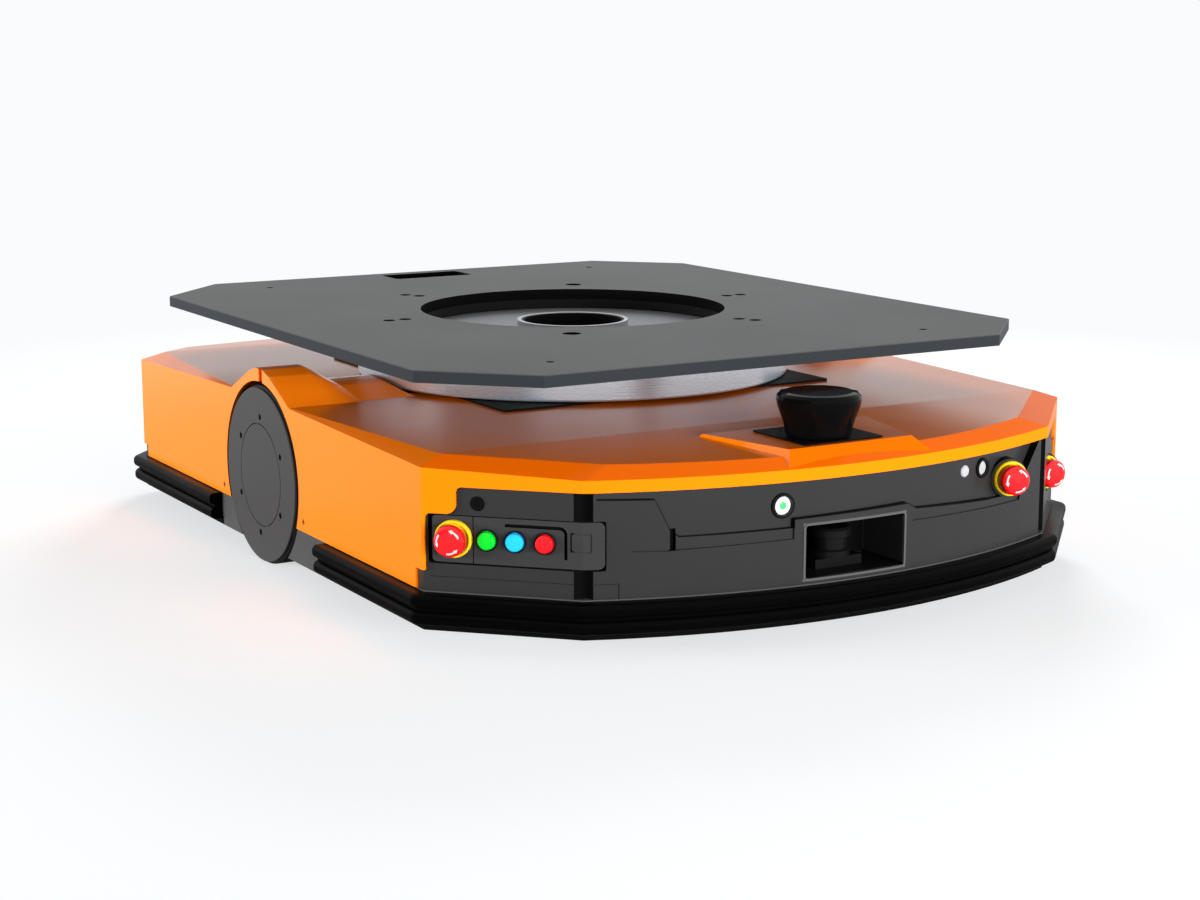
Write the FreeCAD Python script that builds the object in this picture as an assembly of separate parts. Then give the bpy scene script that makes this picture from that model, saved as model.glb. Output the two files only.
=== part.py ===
import FreeCAD, Part
import math
import os

# Low lifting mobile robot with a turntable load plate.
# Millimetres, +Z up.  The robot's front faces -Y, its drive axle lies on the X axis,
# and the origin is on the floor, midway between the two drive wheels.

V = FreeCAD.Vector
UP = V(0, 0, 1)

# ---------------------------------------------------------------- hood and plan outline
side_x = 509.0              # half width over the hood's flat sides
front_side_y = -517.0       # where each flat side meets the front corner facet
front_nose_x = 364.0        # half width of the bowed front
front_nose_y = -661.0       # where the corner facet meets the bowed front
front_apex_y = -737.0       # foremost point of the bow
rear_side_y = 503.0
rear_tail_x = 450.0
rear_tail_y = 566.0
rear_apex_y = 612.0
skin = 5.0                  # hood wall
shell_foot_z = 74.0         # lower edge of hood and fascias
deck_z = 239.5              # flat top of the hood
side_edge_z = 228.0         # top of the side wall at the corners
side_edge_wheel_z = 238.5   # top of the side wall beside the wheel hump
nose_edge_z = 221.4         # top of the front lip
tail_edge_z = 222.0
bevel_inset = 34.0          # widest part of the side bevel
lip_foot_z = 206.0          # lower edge of the orange lip over the fascia
bevel_rise = 0.446          # slope of the bevel behind front and rear lips
apron_front_z = 233.0       # deck height where it reaches the front bevel
apron_front_y = -705.0
apron_rear_z = 235.5
apron_rear_y = 575.0
seam = 1.0                  # half the joint between front and rear hood
seam_bevel_y = 12.0         # bevel on the front hood's edge beside that joint
seam_bevel_depth = 3.5

# wheel humps across the hood
hump_z = 280.0
hump_half = 108.0
hump_shoulder_y = 36.0
hump_shoulder_drop = 7.0
hump_flat_y = 12.0
hump_inner_x = 445.0
ridge_x = 400.0
ridge_z = 255.0
ridge_shoulder_drop = 2.5

# ---------------------------------------------------------------- wheels
wheel_r = 128.0
wheel_z = wheel_r
arch_r = 134.0
wheel_face_x = 511.0        # outer face of the wheel cover
cover_r = 124.5
cover_thick = 3.7
cap_r = 72.8
cap_gap = 1.4               # groove between the hub cap and its cover
cover_bolt_circle_r = 84.0
cover_bolt_turn = 93.0      # degrees from the +Y direction
tyre_width = 50.0
tyre_inner_r = 104.0
axle_r = 15.0
axle_fit = 0.06
shaft_end_x = 396.0         # inner end of the wheel shaft, inside the gearbox

# ---------------------------------------------------------------- load plate and turntable
plate_width = 960.0
plate_length = 1120.0
plate_thick = 16.0
plate_cut = 120.0           # corner cut-offs
plate_top_z = 335.0
plate_foot_z = plate_top_z - plate_thick
plate_hole_r = 230.0
plate_bolt_hole_r = 9.0
plate_dowel_hole_r = 13.0
plate_screw_h = 4.0         # height of the sunk screw heads
deck_hole_x = 300.0
deck_hole_y = 467.0
deck_hole_r = 5.5
slot_x = 70.0
slot_front_y = 470.0
slot_rear_y = 534.0
ring_outer_r = 312.0        # slewing ring
ring_inner_r = plate_hole_r + 2.0
ring_height = 27.5
ring_foot_z = plate_foot_z - ring_height
bolt_outer_circle = ring_outer_r - 6.0
bolt_inner_circle = ring_outer_r - 32.0
dowel_circle = ring_outer_r - 19.0
skirt_wall = 9.0
skirt_gap = 4.0             # between the slewing ring and the skirt around it
skirt_r = ring_outer_r + skirt_gap + skirt_wall
table_r = ring_inner_r - 1.5
table_top_z = plate_foot_z - 15.0
drum_r = 225.0
drum_wall = 8.0
drum_foot_z = 120.0
drum_foot_thick = 10.0
bearing_flange_r = ring_outer_r - 42.0
bearing_flange_z = ring_foot_z - 11.5
bearing_gap = 0.5           # under the slewing ring
boss_r = 84.0
boss_z = plate_foot_z - 2.0
boss_hole_r = 78.0
camera_foot_z = boss_z - 55.0   # foot of the dark well that holds the upward camera
base_plate_x = bearing_flange_r     # half width of the black plate under the turntable
base_plate_y = base_plate_x + 15.0
base_plate_thick = 3.0
skirt_foot_z = deck_z + base_plate_thick + 1.0
post_r = 14.0
post_place = 140.0
post_fit = 0.08
post_top_z = 240.0
ram_r = 25.0
ram_foot_z = 52.0
jack_r = 60.0
jack_top_z = 114.0

# ---------------------------------------------------------------- front fascia
fascia_inset = 3.5          # how far the fascia face lies behind the hood face
fascia_thick = 22.0
fascia_gap = 1.0
front_bow_r = (front_nose_x ** 2 + (front_nose_y - front_apex_y) ** 2) / (2 * (front_nose_y - front_apex_y))
front_bow_y = front_apex_y + front_bow_r
rear_bow_r = (rear_tail_x ** 2 + (rear_apex_y - rear_tail_y) ** 2) / (2 * (rear_apex_y - rear_tail_y))
rear_bow_y = rear_apex_y - rear_bow_r
recess_shift_x = -13.0      # the recess floor is the same bow moved back and sideways
recess_shift_y = 8.0
ledge_depth = 3.0
channel_r = 13.0            # upright channel down each front corner
pocket_x0 = -86.0           # scanner pocket
pocket_x1 = 66.0
pocket_z0 = 80.5
pocket_z1 = 148.0
pocket_back_y = -646.0
pocket_wall = 6.0
pocket_lip = 3.0            # narrow raised rim around the pocket
pocket_lip_h = 1.0
panel_inset = 1.0           # control panel face
panel_back = 10.0
panel_x0 = -498.0
panel_x1 = -339.0
panel_z0 = 112.0
panel_z1 = 170.0
panel_gap = 3.0             # dark joint around the panel
panel_top_gap = 0.6
panel_row_z = 142.0         # height of the row of controls
panel_groove = 4.0          # width and depth of the bracket-shaped groove

# ---------------------------------------------------------------- controls
estop_head_r = 20.0
estop_collar_r = 23.5
estop_collar_h = 7.0
estop_facet_s = 41.5        # distance along the corner facet from its side edge
estop_front_x = 267.0
estop_front_y = -697.0
estop_front_z = 166.0
estop_front_turn = 15.0     # degrees that the front stop looks to the left
estop_right_x = 424.0
estop_right_y = -590.0
estop_right_z = 140.0
estop_boss_r = 26.0
button_r = 10.8
button_guide_r = 11.6       # collar of each button inside the panel
bezel_r = 13.8
button_places = (("green", 84.0), ("blue", 119.5), ("red", 157.0))
power_x = -114.5
power_z = 175.0
start_x = 221.5
start_z = 184.0
lamp_x = 184.0
lamp_z = 185.0

# ---------------------------------------------------------------- lidar
lidar_x = -12.0
lidar_y = -650.0
lidar_plate_x0 = -66.0
lidar_plate_x1 = 56.0
lidar_plate_y0 = -697.0
lidar_plate_y1 = -580.0
lidar_plate_thick = 2.0
lidar_pad_z = 241.0
lidar_top_z = 300.0
lidar_top_r = 54.5
lidar_foot_r = 43.0

# ---------------------------------------------------------------- bumpers and chassis
bumper_out = 18.0
bumper_in = 2.0             # inset of the chassis wall behind the bumper
bumper_seat = 0.3
bumper_foot_z = 33.0
bumper_top_z = 72.5
bumper_front_end_y = -218.0
bumper_rear_end_y = 165.0
frame_foot_z = 24.0
frame_wall = 20.0
floor_thick = 8.0
floor_z = frame_foot_z + floor_thick
well_x = 440.0              # inner end of the drive wheel wells

# ---------------------------------------------------------------- casters
caster_x = 340.0            # half the track of the casters
caster_front_y = -480.0
caster_rear_y = 400.0
caster_r = 40.0
caster_width = 32.0
caster_trail = 32.0
bay_half = 78.0             # half the open width of a caster bay
bay_wall = 5.0
bay_ceiling_z = 110.0
bay_plate = 8.0
kingpin_r = 10.0
caster_axle_r = 6.0
running_fit = 0.06

# ---------------------------------------------------------------- battery and controller
battery_half = caster_x - bay_half - bay_wall - 32.0
battery_front_y = 262.0
battery_rear_y = 500.0
battery_top_z = 190.0
lid_inset = 10.0
lid_thick = 6.0
handle_half = 60.0
handle_y = 372.0
handle_depth = 12.0
handle_rise = 18.0
handle_bar = 10.0           # thickness of the handle's feet
controller_half = caster_x - bay_half - bay_wall - 42.0
controller_front_y = -600.0
controller_rear_y = -440.0
controller_top_z = 150.0
fin_count = 12
fin_thick = 6.0
fin_margin_left = 15.0
fin_margin_right = 35.0
fin_pitch = (2 * controller_half - fin_margin_left - fin_margin_right - fin_thick) / (fin_count - 1)
fin_rise = 18.0

reach = 2 * side_x          # farther from the origin than any piece

os.makedirs("parts", exist_ok=True)


# ================================================================ small helpers
def save(name, shape):
    shape.exportStep("parts/" + name + ".step")
    print(name, round(shape.Volume / 1000.0, 1), "cm3", len(shape.Solids), "solid(s)", shape.isValid())


def box(x0, x1, y0, y1, z0, z1):
    return Part.makeBox(x1 - x0, y1 - y0, z1 - z0, V(x0, y0, z0))


def post(radius, z0, z1, x=0.0, y=0.0):
    return Part.makeCylinder(radius, z1 - z0, V(x, y, z0), UP)


def ring(outer, inner, z0, z1, x=0.0, y=0.0):
    return post(outer, z0, z1, x, y).cut(post(inner, z0 - 1, z1 + 1, x, y))


def bar(radius, x0, x1, y=0.0, z=0.0):
    return Part.makeCylinder(radius, abs(x1 - x0), V(min(x0, x1), y, z), V(1, 0, 0))


def mirror_x(shape):
    return shape.mirror(V(0, 0, 0), V(1, 0, 0))


def fuse_all(shapes):
    whole = shapes[0]
    for shape in shapes[1:]:
        whole = whole.fuse(shape)
    return whole.removeSplitter()


def rounded_outline(points, radii):
    """Closed 2-D outline (z = 0) with each corner rounded by its own radius."""
    count = len(points)
    edges = []
    starts = []
    for i in range(count):
        here = V(*points[i], 0)
        before = (V(*points[i - 1], 0) - here).normalize()
        after = (V(*points[(i + 1) % count], 0) - here).normalize()
        if radii[i] == 0:
            starts.append((here, here, None))
            continue
        half = before.getAngle(after) / 2.0
        reach = radii[i] / math.tan(half)
        centre = here + (before + after).normalize() * (radii[i] / math.sin(half))
        middle = centre + (here - centre).normalize() * radii[i]
        starts.append((here + before * reach, here + after * reach, middle))
    for i in range(count):
        enter, leave, middle = starts[i]
        if middle is not None:
            edges.append(Part.Arc(enter, middle, leave).toShape())
        edges.append(Part.makeLine(leave, starts[(i + 1) % count][0]))
    return Part.Wire(edges)


def slab(points, radii, z0, z1):
    """Outline in local XY, extruded along local Z."""
    face = Part.Face(rounded_outline(points, radii))
    face.translate(V(0, 0, z0))
    return face.extrude(V(0, 0, z1 - z0))


def axes(origin, right, up):
    """Placement whose local X runs right, local Y up and local Z out of the surface."""
    right = V(right).normalize()
    up = V(up).normalize()
    return FreeCAD.Placement(origin, FreeCAD.Rotation(right, up, right.cross(up), "XYZ"))


def placed(shape, placement):
    return shape.transformed(placement.toMatrix(), True)


def turned(profile):
    """Solid of revolution about local Z from (radius, height) points."""
    points = [V(r, 0, h) for r, h in profile]
    face = Part.Face(Part.makePolygon(points + [points[0]]))
    return face.revolve(V(0, 0, 0), UP, 360)


# ================================================================ plan outline
def outline_face(grow):
    """Plan outline of the hood at floor level, offset outwards by grow."""
    fl = V(-side_x, front_side_y, 0)
    fnl = V(-front_nose_x, front_nose_y, 0)
    fnr = V(front_nose_x, front_nose_y, 0)
    fr = V(side_x, front_side_y, 0)
    rr = V(side_x, rear_side_y, 0)
    rtr = V(rear_tail_x, rear_tail_y, 0)
    rtl = V(-rear_tail_x, rear_tail_y, 0)
    rl = V(-side_x, rear_side_y, 0)
    edges = [
        Part.makeLine(fl, fnl),
        Part.Arc(fnl, V(0, front_apex_y, 0), fnr).toShape(),
        Part.makeLine(fnr, fr),
        Part.makeLine(fr, rr),
        Part.makeLine(rr, rtr),
        Part.Arc(rtr, V(0, rear_apex_y, 0), rtl).toShape(),
        Part.makeLine(rtl, rl),
        Part.makeLine(rl, fl),
    ]
    face = Part.Face(Part.Wire(edges))
    if grow == 0:
        return face
    return face.makeOffset2D(grow, 0 if grow > 0 else 2, False, False, False)


def plan(grow, z0, z1):
    face = outline_face(grow)
    face.translate(V(0, 0, z0))
    return face.extrude(V(0, 0, z1 - z0))


def plan_shell(outer_inset, inner_inset, z0, z1):
    return plan(-outer_inset, z0, z1).cut(plan(-inner_inset, z0 - 1, z1 + 1))


# ================================================================ hood envelope
def cut_above(shape, a, b, c, inset):
    """Remove what lies above the plane through a, b and c, lowered by inset."""
    normal = (b - a).cross(c - a).normalize()
    if normal.z < 0:
        normal = normal * -1
    reach = 1500.0
    block = Part.makeBox(2 * reach, 2 * reach, 300, V(-reach, -reach, 0))
    block.Placement = FreeCAD.Placement(a - normal * inset, FreeCAD.Rotation(UP, normal))
    return shape.cut(block)


def bevel_cone(radius, centre_y, edge_z, inset):
    """Cone whose surface is the bevel that rises behind a bowed lip."""
    drop = inset / math.cos(math.atan(bevel_rise))
    foot = edge_z - drop
    wide = radius + foot / bevel_rise
    top = 320.0
    narrow = radius - (top - foot) / bevel_rise
    return Part.makeCone(wide, narrow, top, V(0, centre_y, 0), UP)


def hump_outline(x, crest_z, shoulder_drop, inset):
    drop = inset * 1.11
    foot = 190.0
    pairs = [
        (-hump_half, foot),
        (-hump_half, side_edge_wheel_z - drop),
        (-hump_shoulder_y, crest_z - shoulder_drop - drop),
        (-hump_flat_y, crest_z - drop),
        (hump_flat_y, crest_z - drop),
        (hump_shoulder_y, crest_z - shoulder_drop - drop),
        (hump_half, side_edge_wheel_z - drop),
        (hump_half, foot),
    ]
    points = [V(x, y, z) for y, z in pairs]
    return Part.makePolygon(points + [points[0]])


def hump(inset):
    """Wheel hump and the lower ridge that runs inwards from it (right side)."""
    sections = [
        hump_outline(side_x - inset, hump_z, hump_shoulder_drop, inset),
        hump_outline(hump_inner_x, hump_z, hump_shoulder_drop, inset),
        hump_outline(ridge_x, ridge_z, ridge_shoulder_drop, inset),
        hump_outline(skirt_r - 60, ridge_z, ridge_shoulder_drop, inset),
    ]
    return Part.makeLoft(sections, True, True)


def envelope(inset, foot_z):
    """Solid body of the hood, shrunk by inset, from foot_z up."""
    body = plan(-inset, foot_z, deck_z - inset)
    for side in (-1, 1):
        outer = side * side_x
        inner = side * (side_x - bevel_inset)
        near_wheel = V(outer, -hump_half - 3, side_edge_wheel_z)
        corner = V(outer, front_side_y, side_edge_z)
        inner_corner = V(inner, front_side_y + 14, deck_z)
        body = cut_above(body, near_wheel, corner, inner_corner, inset)
        nose = V(side * front_nose_x, front_nose_y, nose_edge_z)
        body = cut_above(body, corner, nose, inner_corner, inset)
        near_wheel = V(outer, hump_half + 3, side_edge_wheel_z)
        corner = V(outer, rear_side_y, side_edge_z)
        inner_corner = V(inner, rear_side_y - 15, deck_z)
        body = cut_above(body, near_wheel, corner, inner_corner, inset)
        tail = V(side * rear_tail_x, rear_tail_y, tail_edge_z)
        body = cut_above(body, corner, tail, inner_corner, inset)
    front_crease = V(0, front_side_y + 14, deck_z)
    body = cut_above(body, front_crease, V(100, front_side_y + 14, deck_z), V(0, apron_front_y, apron_front_z), inset)
    rear_crease = V(0, rear_side_y - 15, deck_z)
    body = cut_above(body, rear_crease, V(100, rear_side_y - 15, deck_z), V(0, apron_rear_y, apron_rear_z), inset)
    body = body.common(bevel_cone(front_bow_r, front_bow_y, nose_edge_z, inset))
    body = body.common(bevel_cone(rear_bow_r, rear_bow_y, tail_edge_z, inset))
    right = hump(inset)
    return fuse_all([body, right, mirror_x(right)])


# ================================================================ places on the corner facets
facet_run = V(side_x - front_nose_x, front_nose_y - front_side_y, 0)
left_facet = axes(V(-side_x, front_side_y, 0), facet_run, UP)


def on_left_facet(s, z, inset):
    return left_facet.multiply(FreeCAD.Placement(V(s, z, -inset), FreeCAD.Rotation()))


def on_recess(x, z):
    """Place on the floor of the fascia's upper recess, facing outwards."""
    radius = front_bow_r - fascia_inset
    centre_y = front_bow_y + recess_shift_y
    lean = math.asin((x - recess_shift_x) / radius)
    y = centre_y - radius * math.cos(lean)
    return axes(V(x, y, z), V(math.cos(lean), math.sin(lean), 0), UP)


# ================================================================ fascia regions
def xz_block(points, radii, y0=-780.0, y1=-560.0):
    """Outline drawn in the XZ plane, extruded along Y."""
    face = Part.Face(rounded_outline(points, radii))
    face.rotate(V(0, 0, 0), V(1, 0, 0), 90)
    face.translate(V(0, y0, 0))
    return face.extrude(V(0, y1 - y0, 0))


def front_fascia_region(gap):
    """Everything that belongs to the front fascia, shrunk by gap at its borders."""
    foot = 60.0
    outline = [
        (4 + gap, foot),
        (4 + gap, 172 - gap),
        (44 + gap, 172 - gap),
        (44 + gap, lip_foot_z - gap),
        (230, lip_foot_z - gap),
        (230, foot),
    ]
    facet = slab(outline, [0, 8, 12, 8, 0, 0], -34, 25)
    left = placed(facet, left_facet)
    right = mirror_x(left)
    middle = box(-368, 368, -790, -600, foot, lip_foot_z - gap)
    ear = box(-side_x - 5, -side_x + 30, front_side_y - 6, front_side_y + 18 - gap, foot, 100 - gap)
    return fuse_all([left, right, middle, ear, mirror_x(ear)])


def rear_fascia_region(gap):
    foot = 60.0
    run = V(rear_tail_x - side_x, rear_tail_y - rear_side_y, 0)
    facet = slab([(4 + gap, foot), (4 + gap, lip_foot_z - gap), (110, lip_foot_z - gap), (110, foot)],
                 [0, 8, 0, 0], -25, 34)
    right = placed(facet, axes(V(side_x, rear_side_y, 0), run, UP))
    middle = box(-455, 455, 510, 680, foot, lip_foot_z - gap)
    ear = box(side_x - 30, side_x + 5, rear_side_y - 18 + gap, rear_side_y + 6, foot, 92 - gap)
    return fuse_all([right, mirror_x(right), middle, ear, mirror_x(ear)])


# ================================================================ hoods
def lidar_pad(inset):
    """Raised pad that carries the lidar, sloping down to the lip at the front."""
    low = [(-112, -729), (112, -729), (150, -540), (-150, -540)]
    high = [(-95, apron_front_y), (95, apron_front_y), (130, -562), (-130, -562)]
    wires = []
    for points, z in ((low, nose_edge_z), (high, lidar_pad_z)):
        corners = [V(x, y, z) for x, y in points]
        wires.append(Part.makePolygon(corners + [corners[0]]))
    return Part.makeLoft(wires, True, True).cut(inset)


def screw_seat(y, side):
    reach = side_x + 1
    hole = bar(2.7, side * (side_x - 8), side * reach, y, 88.0)
    sink = bar(4.4, side * (side_x - 2.5), side * reach, y, 88.0)
    return hole.fuse(sink)


def hood_shell():
    inside = envelope(skin, shell_foot_z - 30)
    shell = envelope(0, shell_foot_z).cut(inside)
    shell = shell.fuse(lidar_pad(inside))
    lip_flange = plan_shell(0, 20, lip_foot_z, lip_foot_z + 6)
    lip_flange = lip_flange.cut(box(-600, 600, front_side_y - 20, rear_side_y + 10, 0, 400))
    shell = shell.fuse(lip_flange)
    shell = shell.cut(front_fascia_region(0))
    shell = shell.cut(rear_fascia_region(0))
    for side in (-1, 1):
        shell = shell.cut(bar(arch_r, side * 430, side * 530, 0, wheel_z))
        for y in (-148.0, 148.0):
            shell = shell.cut(screw_seat(y, side))
    shell = shell.cut(post(skirt_r + 7, deck_z, hump_z))
    shell = shell.cut(box(-base_plate_x + 10, base_plate_x - 10, -base_plate_y + 10, base_plate_y - 10,
                          deck_z - 40, deck_z + 5))
    return shell


def make_hoods():
    shell = hood_shell()
    front = shell.cut(box(-reach, reach, -seam, reach, 0, reach))
    rear = shell.cut(box(-reach, reach, -reach, seam, 0, reach))
    outline = [
        (side_x + 1, -seam - seam_bevel_y), (side_x, -seam - seam_bevel_y),
        (side_x - seam_bevel_depth, -seam), (side_x - seam_bevel_depth, 1), (side_x + 1, 1),
    ]
    bevel = slab(outline, [0] * 5, wheel_z + arch_r - 10, hump_z + 10)
    front = front.cut(bevel).cut(mirror_x(bevel))
    save("hood_front", front)
    save("hood_rear", rear)


def make_hood_screws():
    screws = []
    for side in (-1, 1):
        for y in (-148.0, 148.0):
            shank = bar(2.5, side * (side_x - 8), side * (side_x - 2.5), y, 88.0)
            head = bar(4.2, side * (side_x - 2.5), side * (side_x - 0.2), y, 88.0)
            socket = bar(1.6, side * (side_x - 1.4), side * side_x, y, 88.0)
            screws.append(shank.fuse(head).cut(socket))
    save("hood_screws", Part.makeCompound(screws))


# ================================================================ front fascia
def upper_recess():
    outline = [
        (-347, 212), (-347, 197), (-280, 195), (-262, 157), (-249, 147), (-102, 147), (-102, 158),
        (72, 160), (88, 151), (232, 142), (300, 140), (309, 163), (345, 204), (345, 212),
    ]
    block = xz_block(outline, [0, 3, 6, 3, 3, 0, 2, 2, 3, 0, 3, 4, 3, 0])
    floor_r = front_bow_r - fascia_inset
    floor = post(floor_r, 60, 230, recess_shift_x, front_bow_y + recess_shift_y)
    return block.cut(floor)


def shallow_cut(outline, depth):
    block = xz_block(outline, [0] * len(outline))
    return block.cut(post(front_bow_r - fascia_inset - depth, 60, 230, 0, front_bow_y))


def fascia_cuts():
    cuts = [upper_recess()]
    cuts.append(shallow_cut([(-262, 157), (-262, 131), (-102, 133), (-102, 147), (-249, 147)], ledge_depth))
    cuts.append(shallow_cut([(80, 136), (232, 132), (297, 131), (300, 140), (232, 142), (88, 151)], ledge_depth))
    cuts.append(shallow_cut([(-307, 133.5), (-307, 131.5), (-262, 130), (-262, 132.5)], 2.5))
    cuts.append(shallow_cut([(-262, 131), (-254, 131), (-254, 157), (-262, 157)], 8.0))
    cuts.append(shallow_cut([(-364, 92.2), (-323, 92.2), (-323, 60), (-321.4, 60), (-321.4, 93.8), (-364, 93.8)], 1.6))
    for side in (-1, 1):
        cuts.append(post(channel_r, shell_foot_z - 1, lip_foot_z, side * front_nose_x, front_nose_y))
    seam_line = slab([(10, 92.2), (10, 93.8), (192, 93.8), (192, 92.2)], [0, 0, 0, 0], -fascia_inset - 1.6, 5)
    cuts.append(placed(seam_line, left_facet))
    cuts.append(mirror_x(placed(seam_line, left_facet)))
    return cuts


def panel_region(grow, grow_top):
    outline = [
        (panel_x0 - grow, panel_z0 - grow),
        (panel_x1 + grow, panel_z0 - grow),
        (panel_x1 + grow, panel_z1 + grow_top),
        (panel_x0 - grow, panel_z1 + grow_top),
    ]
    return xz_block(outline, [4, 7, 7, 4], -780, -500)


def pocket_outline(grow):
    x0 = pocket_x0 - grow
    x1 = pocket_x1 + grow
    z0 = pocket_z0 - grow
    z1 = pocket_z1 + grow
    return xz_block([(x0, z0), (x1, z0), (x1, z1), (x0, z1)], [4 + grow] * 4, -760, pocket_back_y)


def button_well(placement, radius, depth):
    return placed(post(radius, -depth, 12), placement)


def make_front_fascia():
    wall = plan_shell(fascia_inset, fascia_inset + fascia_thick, shell_foot_z, lip_foot_z - fascia_gap)
    fascia = wall.common(front_fascia_region(fascia_gap))
    for cut in fascia_cuts():
        fascia = fascia.cut(cut)
    pocket_box = box(pocket_x0 - pocket_wall, pocket_x1 + pocket_wall, front_apex_y + fascia_thick,
                     pocket_back_y + pocket_wall, shell_foot_z + 1, pocket_z1 + pocket_wall)
    fascia = fascia.fuse(pocket_box)
    rim_face = plan_shell(fascia_inset - pocket_lip_h, fascia_inset + 4, shell_foot_z, lip_foot_z)
    fascia = fascia.fuse(pocket_outline(pocket_lip).common(rim_face))
    fascia = fascia.cut(pocket_outline(0))
    fascia = fascia.fuse(placed(post(estop_boss_r, -42, 0), front_estop_place()))
    fascia = fascia.fuse(placed(post(estop_boss_r + 1, -24, 0), right_estop_place()))
    fascia = fascia.cut(placed(post(estop_boss_r, 0, 60), right_estop_place()))
    panel_pocket = plan_shell(-8, panel_back + 0.2, panel_z0 - 10, panel_z1 + 10)
    fascia = fascia.cut(panel_pocket.common(panel_region(panel_gap, panel_top_gap)))
    fascia = fascia.cut(button_well(front_estop_place(), 9, 12))
    fascia = fascia.cut(button_well(right_estop_place(), 9, 12))
    fascia = fascia.cut(button_well(power_place(), 16.3, 1))
    fascia = fascia.cut(button_well(power_place(), 12.3, 12.5))
    fascia = fascia.cut(button_well(start_place(), 13.8, 1))
    fascia = fascia.cut(button_well(start_place(), 10.4, 12))
    fascia = fascia.cut(button_well(lamp_place(), 8.3, 2))
    fascia = fascia.cut(button_well(port_place(), 9.3, 5))
    save("fascia_front", fascia.removeSplitter())


def front_estop_place():
    turn = math.radians(estop_front_turn)
    return axes(V(estop_front_x, estop_front_y, estop_front_z), V(math.cos(turn), -math.sin(turn), 0), UP)


def left_estop_place():
    return on_left_facet(estop_facet_s, panel_row_z, panel_inset)


def right_estop_place():
    return axes(V(estop_right_x, estop_right_y, estop_right_z), V(1, 0, 0), UP)


def power_place():
    return on_recess(power_x, power_z)


def start_place():
    return on_recess(start_x, start_z)


def lamp_place():
    return on_recess(lamp_x, lamp_z)


def port_place():
    return on_left_facet(71.0, 186.0, fascia_inset)


# ================================================================ rear fascia and charging
charge_half_x = 70.0
charge_z0 = 95.0
charge_z1 = 150.0


def make_rear_fascia():
    wall = plan_shell(fascia_inset, fascia_inset + fascia_thick, shell_foot_z, lip_foot_z - fascia_gap)
    fascia = wall.common(rear_fascia_region(fascia_gap))
    recess = box(-charge_half_x, charge_half_x, rear_apex_y - fascia_inset - 12, 700, charge_z0, charge_z1)
    fascia = fascia.cut(recess)
    save("fascia_rear", fascia.removeSplitter())
    floor_y = rear_apex_y - fascia_inset - 12
    block = box(-charge_half_x + 2, charge_half_x - 2, floor_y, floor_y + 7, charge_z0 + 2, charge_z1 - 2)
    strips = []
    for z in (charge_z0 + 10, charge_z1 - 22):
        strip = box(-50, 50, floor_y + 4, floor_y + 9, z, z + 12)
        block = block.cut(box(-50, 50, floor_y + 4, floor_y + 8, z, z + 12))
        strips.append(strip)
    save("charge_block", block)
    save("charge_contacts", Part.makeCompound(strips))


# ================================================================ control panel and its controls
def panel_cut(outline, radii, depth):
    """Groove of even depth that follows the panel's face; outline in (s, z) of the left facet."""
    prism = placed(slab(outline, radii, -25, 5), left_facet)
    return prism.cut(plan(-panel_inset - depth, 60, 230))


def make_control_panel():
    panel = plan_shell(panel_inset, panel_back, panel_z0 - 10, panel_z1 + 10).common(panel_region(0, 0))
    panel = panel.cut(button_well(left_estop_place(), 9, 12))
    for _, s in button_places:
        panel = panel.cut(button_well(on_left_facet(s, panel_row_z, panel_inset), 12.2, 12))
    g = panel_groove
    panel = panel.cut(panel_cut([(106, 163.5), (184.5, 163.5), (184.5, 123), (184.5 - g, 123),
                                 (184.5 - g, 163.5 - g), (106, 163.5 - g)], [0, 10, 0, 0, 6, 0], g))
    frame = panel_cut([(188, 133), (214, 133), (214, 157), (188, 157)], [2] * 4, 1.5)
    inner = panel_cut([(190, 135), (212, 135), (212, 155), (190, 155)], [1] * 4, 1.5)
    panel = panel.cut(frame.cut(inner))
    panel = panel.cut(panel_cut([(65.3, 105), (66.7, 105), (66.7, 175), (65.3, 175)], [0] * 4, 1.2))
    save("control_panel", panel.removeSplitter())


def estop_collar():
    profile = [
        (9, 0), (estop_collar_r, 0), (estop_collar_r, estop_collar_h - 2), (estop_collar_r - 1.2, estop_collar_h),
        (estop_head_r + 1, estop_collar_h), (estop_head_r + 1, 2), (9, 2),
    ]
    return turned(profile)


def estop_head():
    r = estop_head_r
    profile = [
        (0, -4), (8.4, -4), (8.4, 11), (r - 3, 11), (r - 0.6, 12.5), (r, 15), (r - 0.8, 21), (r - 3.5, 24),
        (r - 8, 25.5), (0, 26.2),
    ]
    head = turned(profile)
    for k in range(3):
        arc = ring(15.5, 13.2, 23.4, 28)
        wedge = Part.makeCylinder(30, 10, V(0, 0, 18), UP, 70)
        wedge.rotate(V(0, 0, 0), UP, 120 * k + 20)
        head = head.cut(arc.common(wedge))
    return head


def make_estops():
    places = (("left", left_estop_place()), ("front", front_estop_place()), ("right", right_estop_place()))
    collars = []
    for name, place in places:
        collars.append(placed(estop_collar(), place))
        save("estop_head_" + name, placed(estop_head(), place))
    save("estop_collars", Part.makeCompound(collars))


def bezel(outer, inner, foot, top):
    return turned([(inner, foot), (outer, foot), (outer, top - 1), (outer - 0.8, top), (inner, top)])


def cap(radius, foot, top):
    return turned([(0, foot), (radius, foot), (radius, top - 1.8), (radius - 1.5, top - 0.4), (0, top)])


def guided_cap(radius, foot, top):
    """Button cap on a wider collar that runs in the panel's hole."""
    guide = button_guide_r
    return turned([(0, foot), (guide, foot), (guide, 1.2), (radius, 2), (radius, top - 1.8), (radius - 1.5, top - 0.4),
                   (0, top)])


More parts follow.
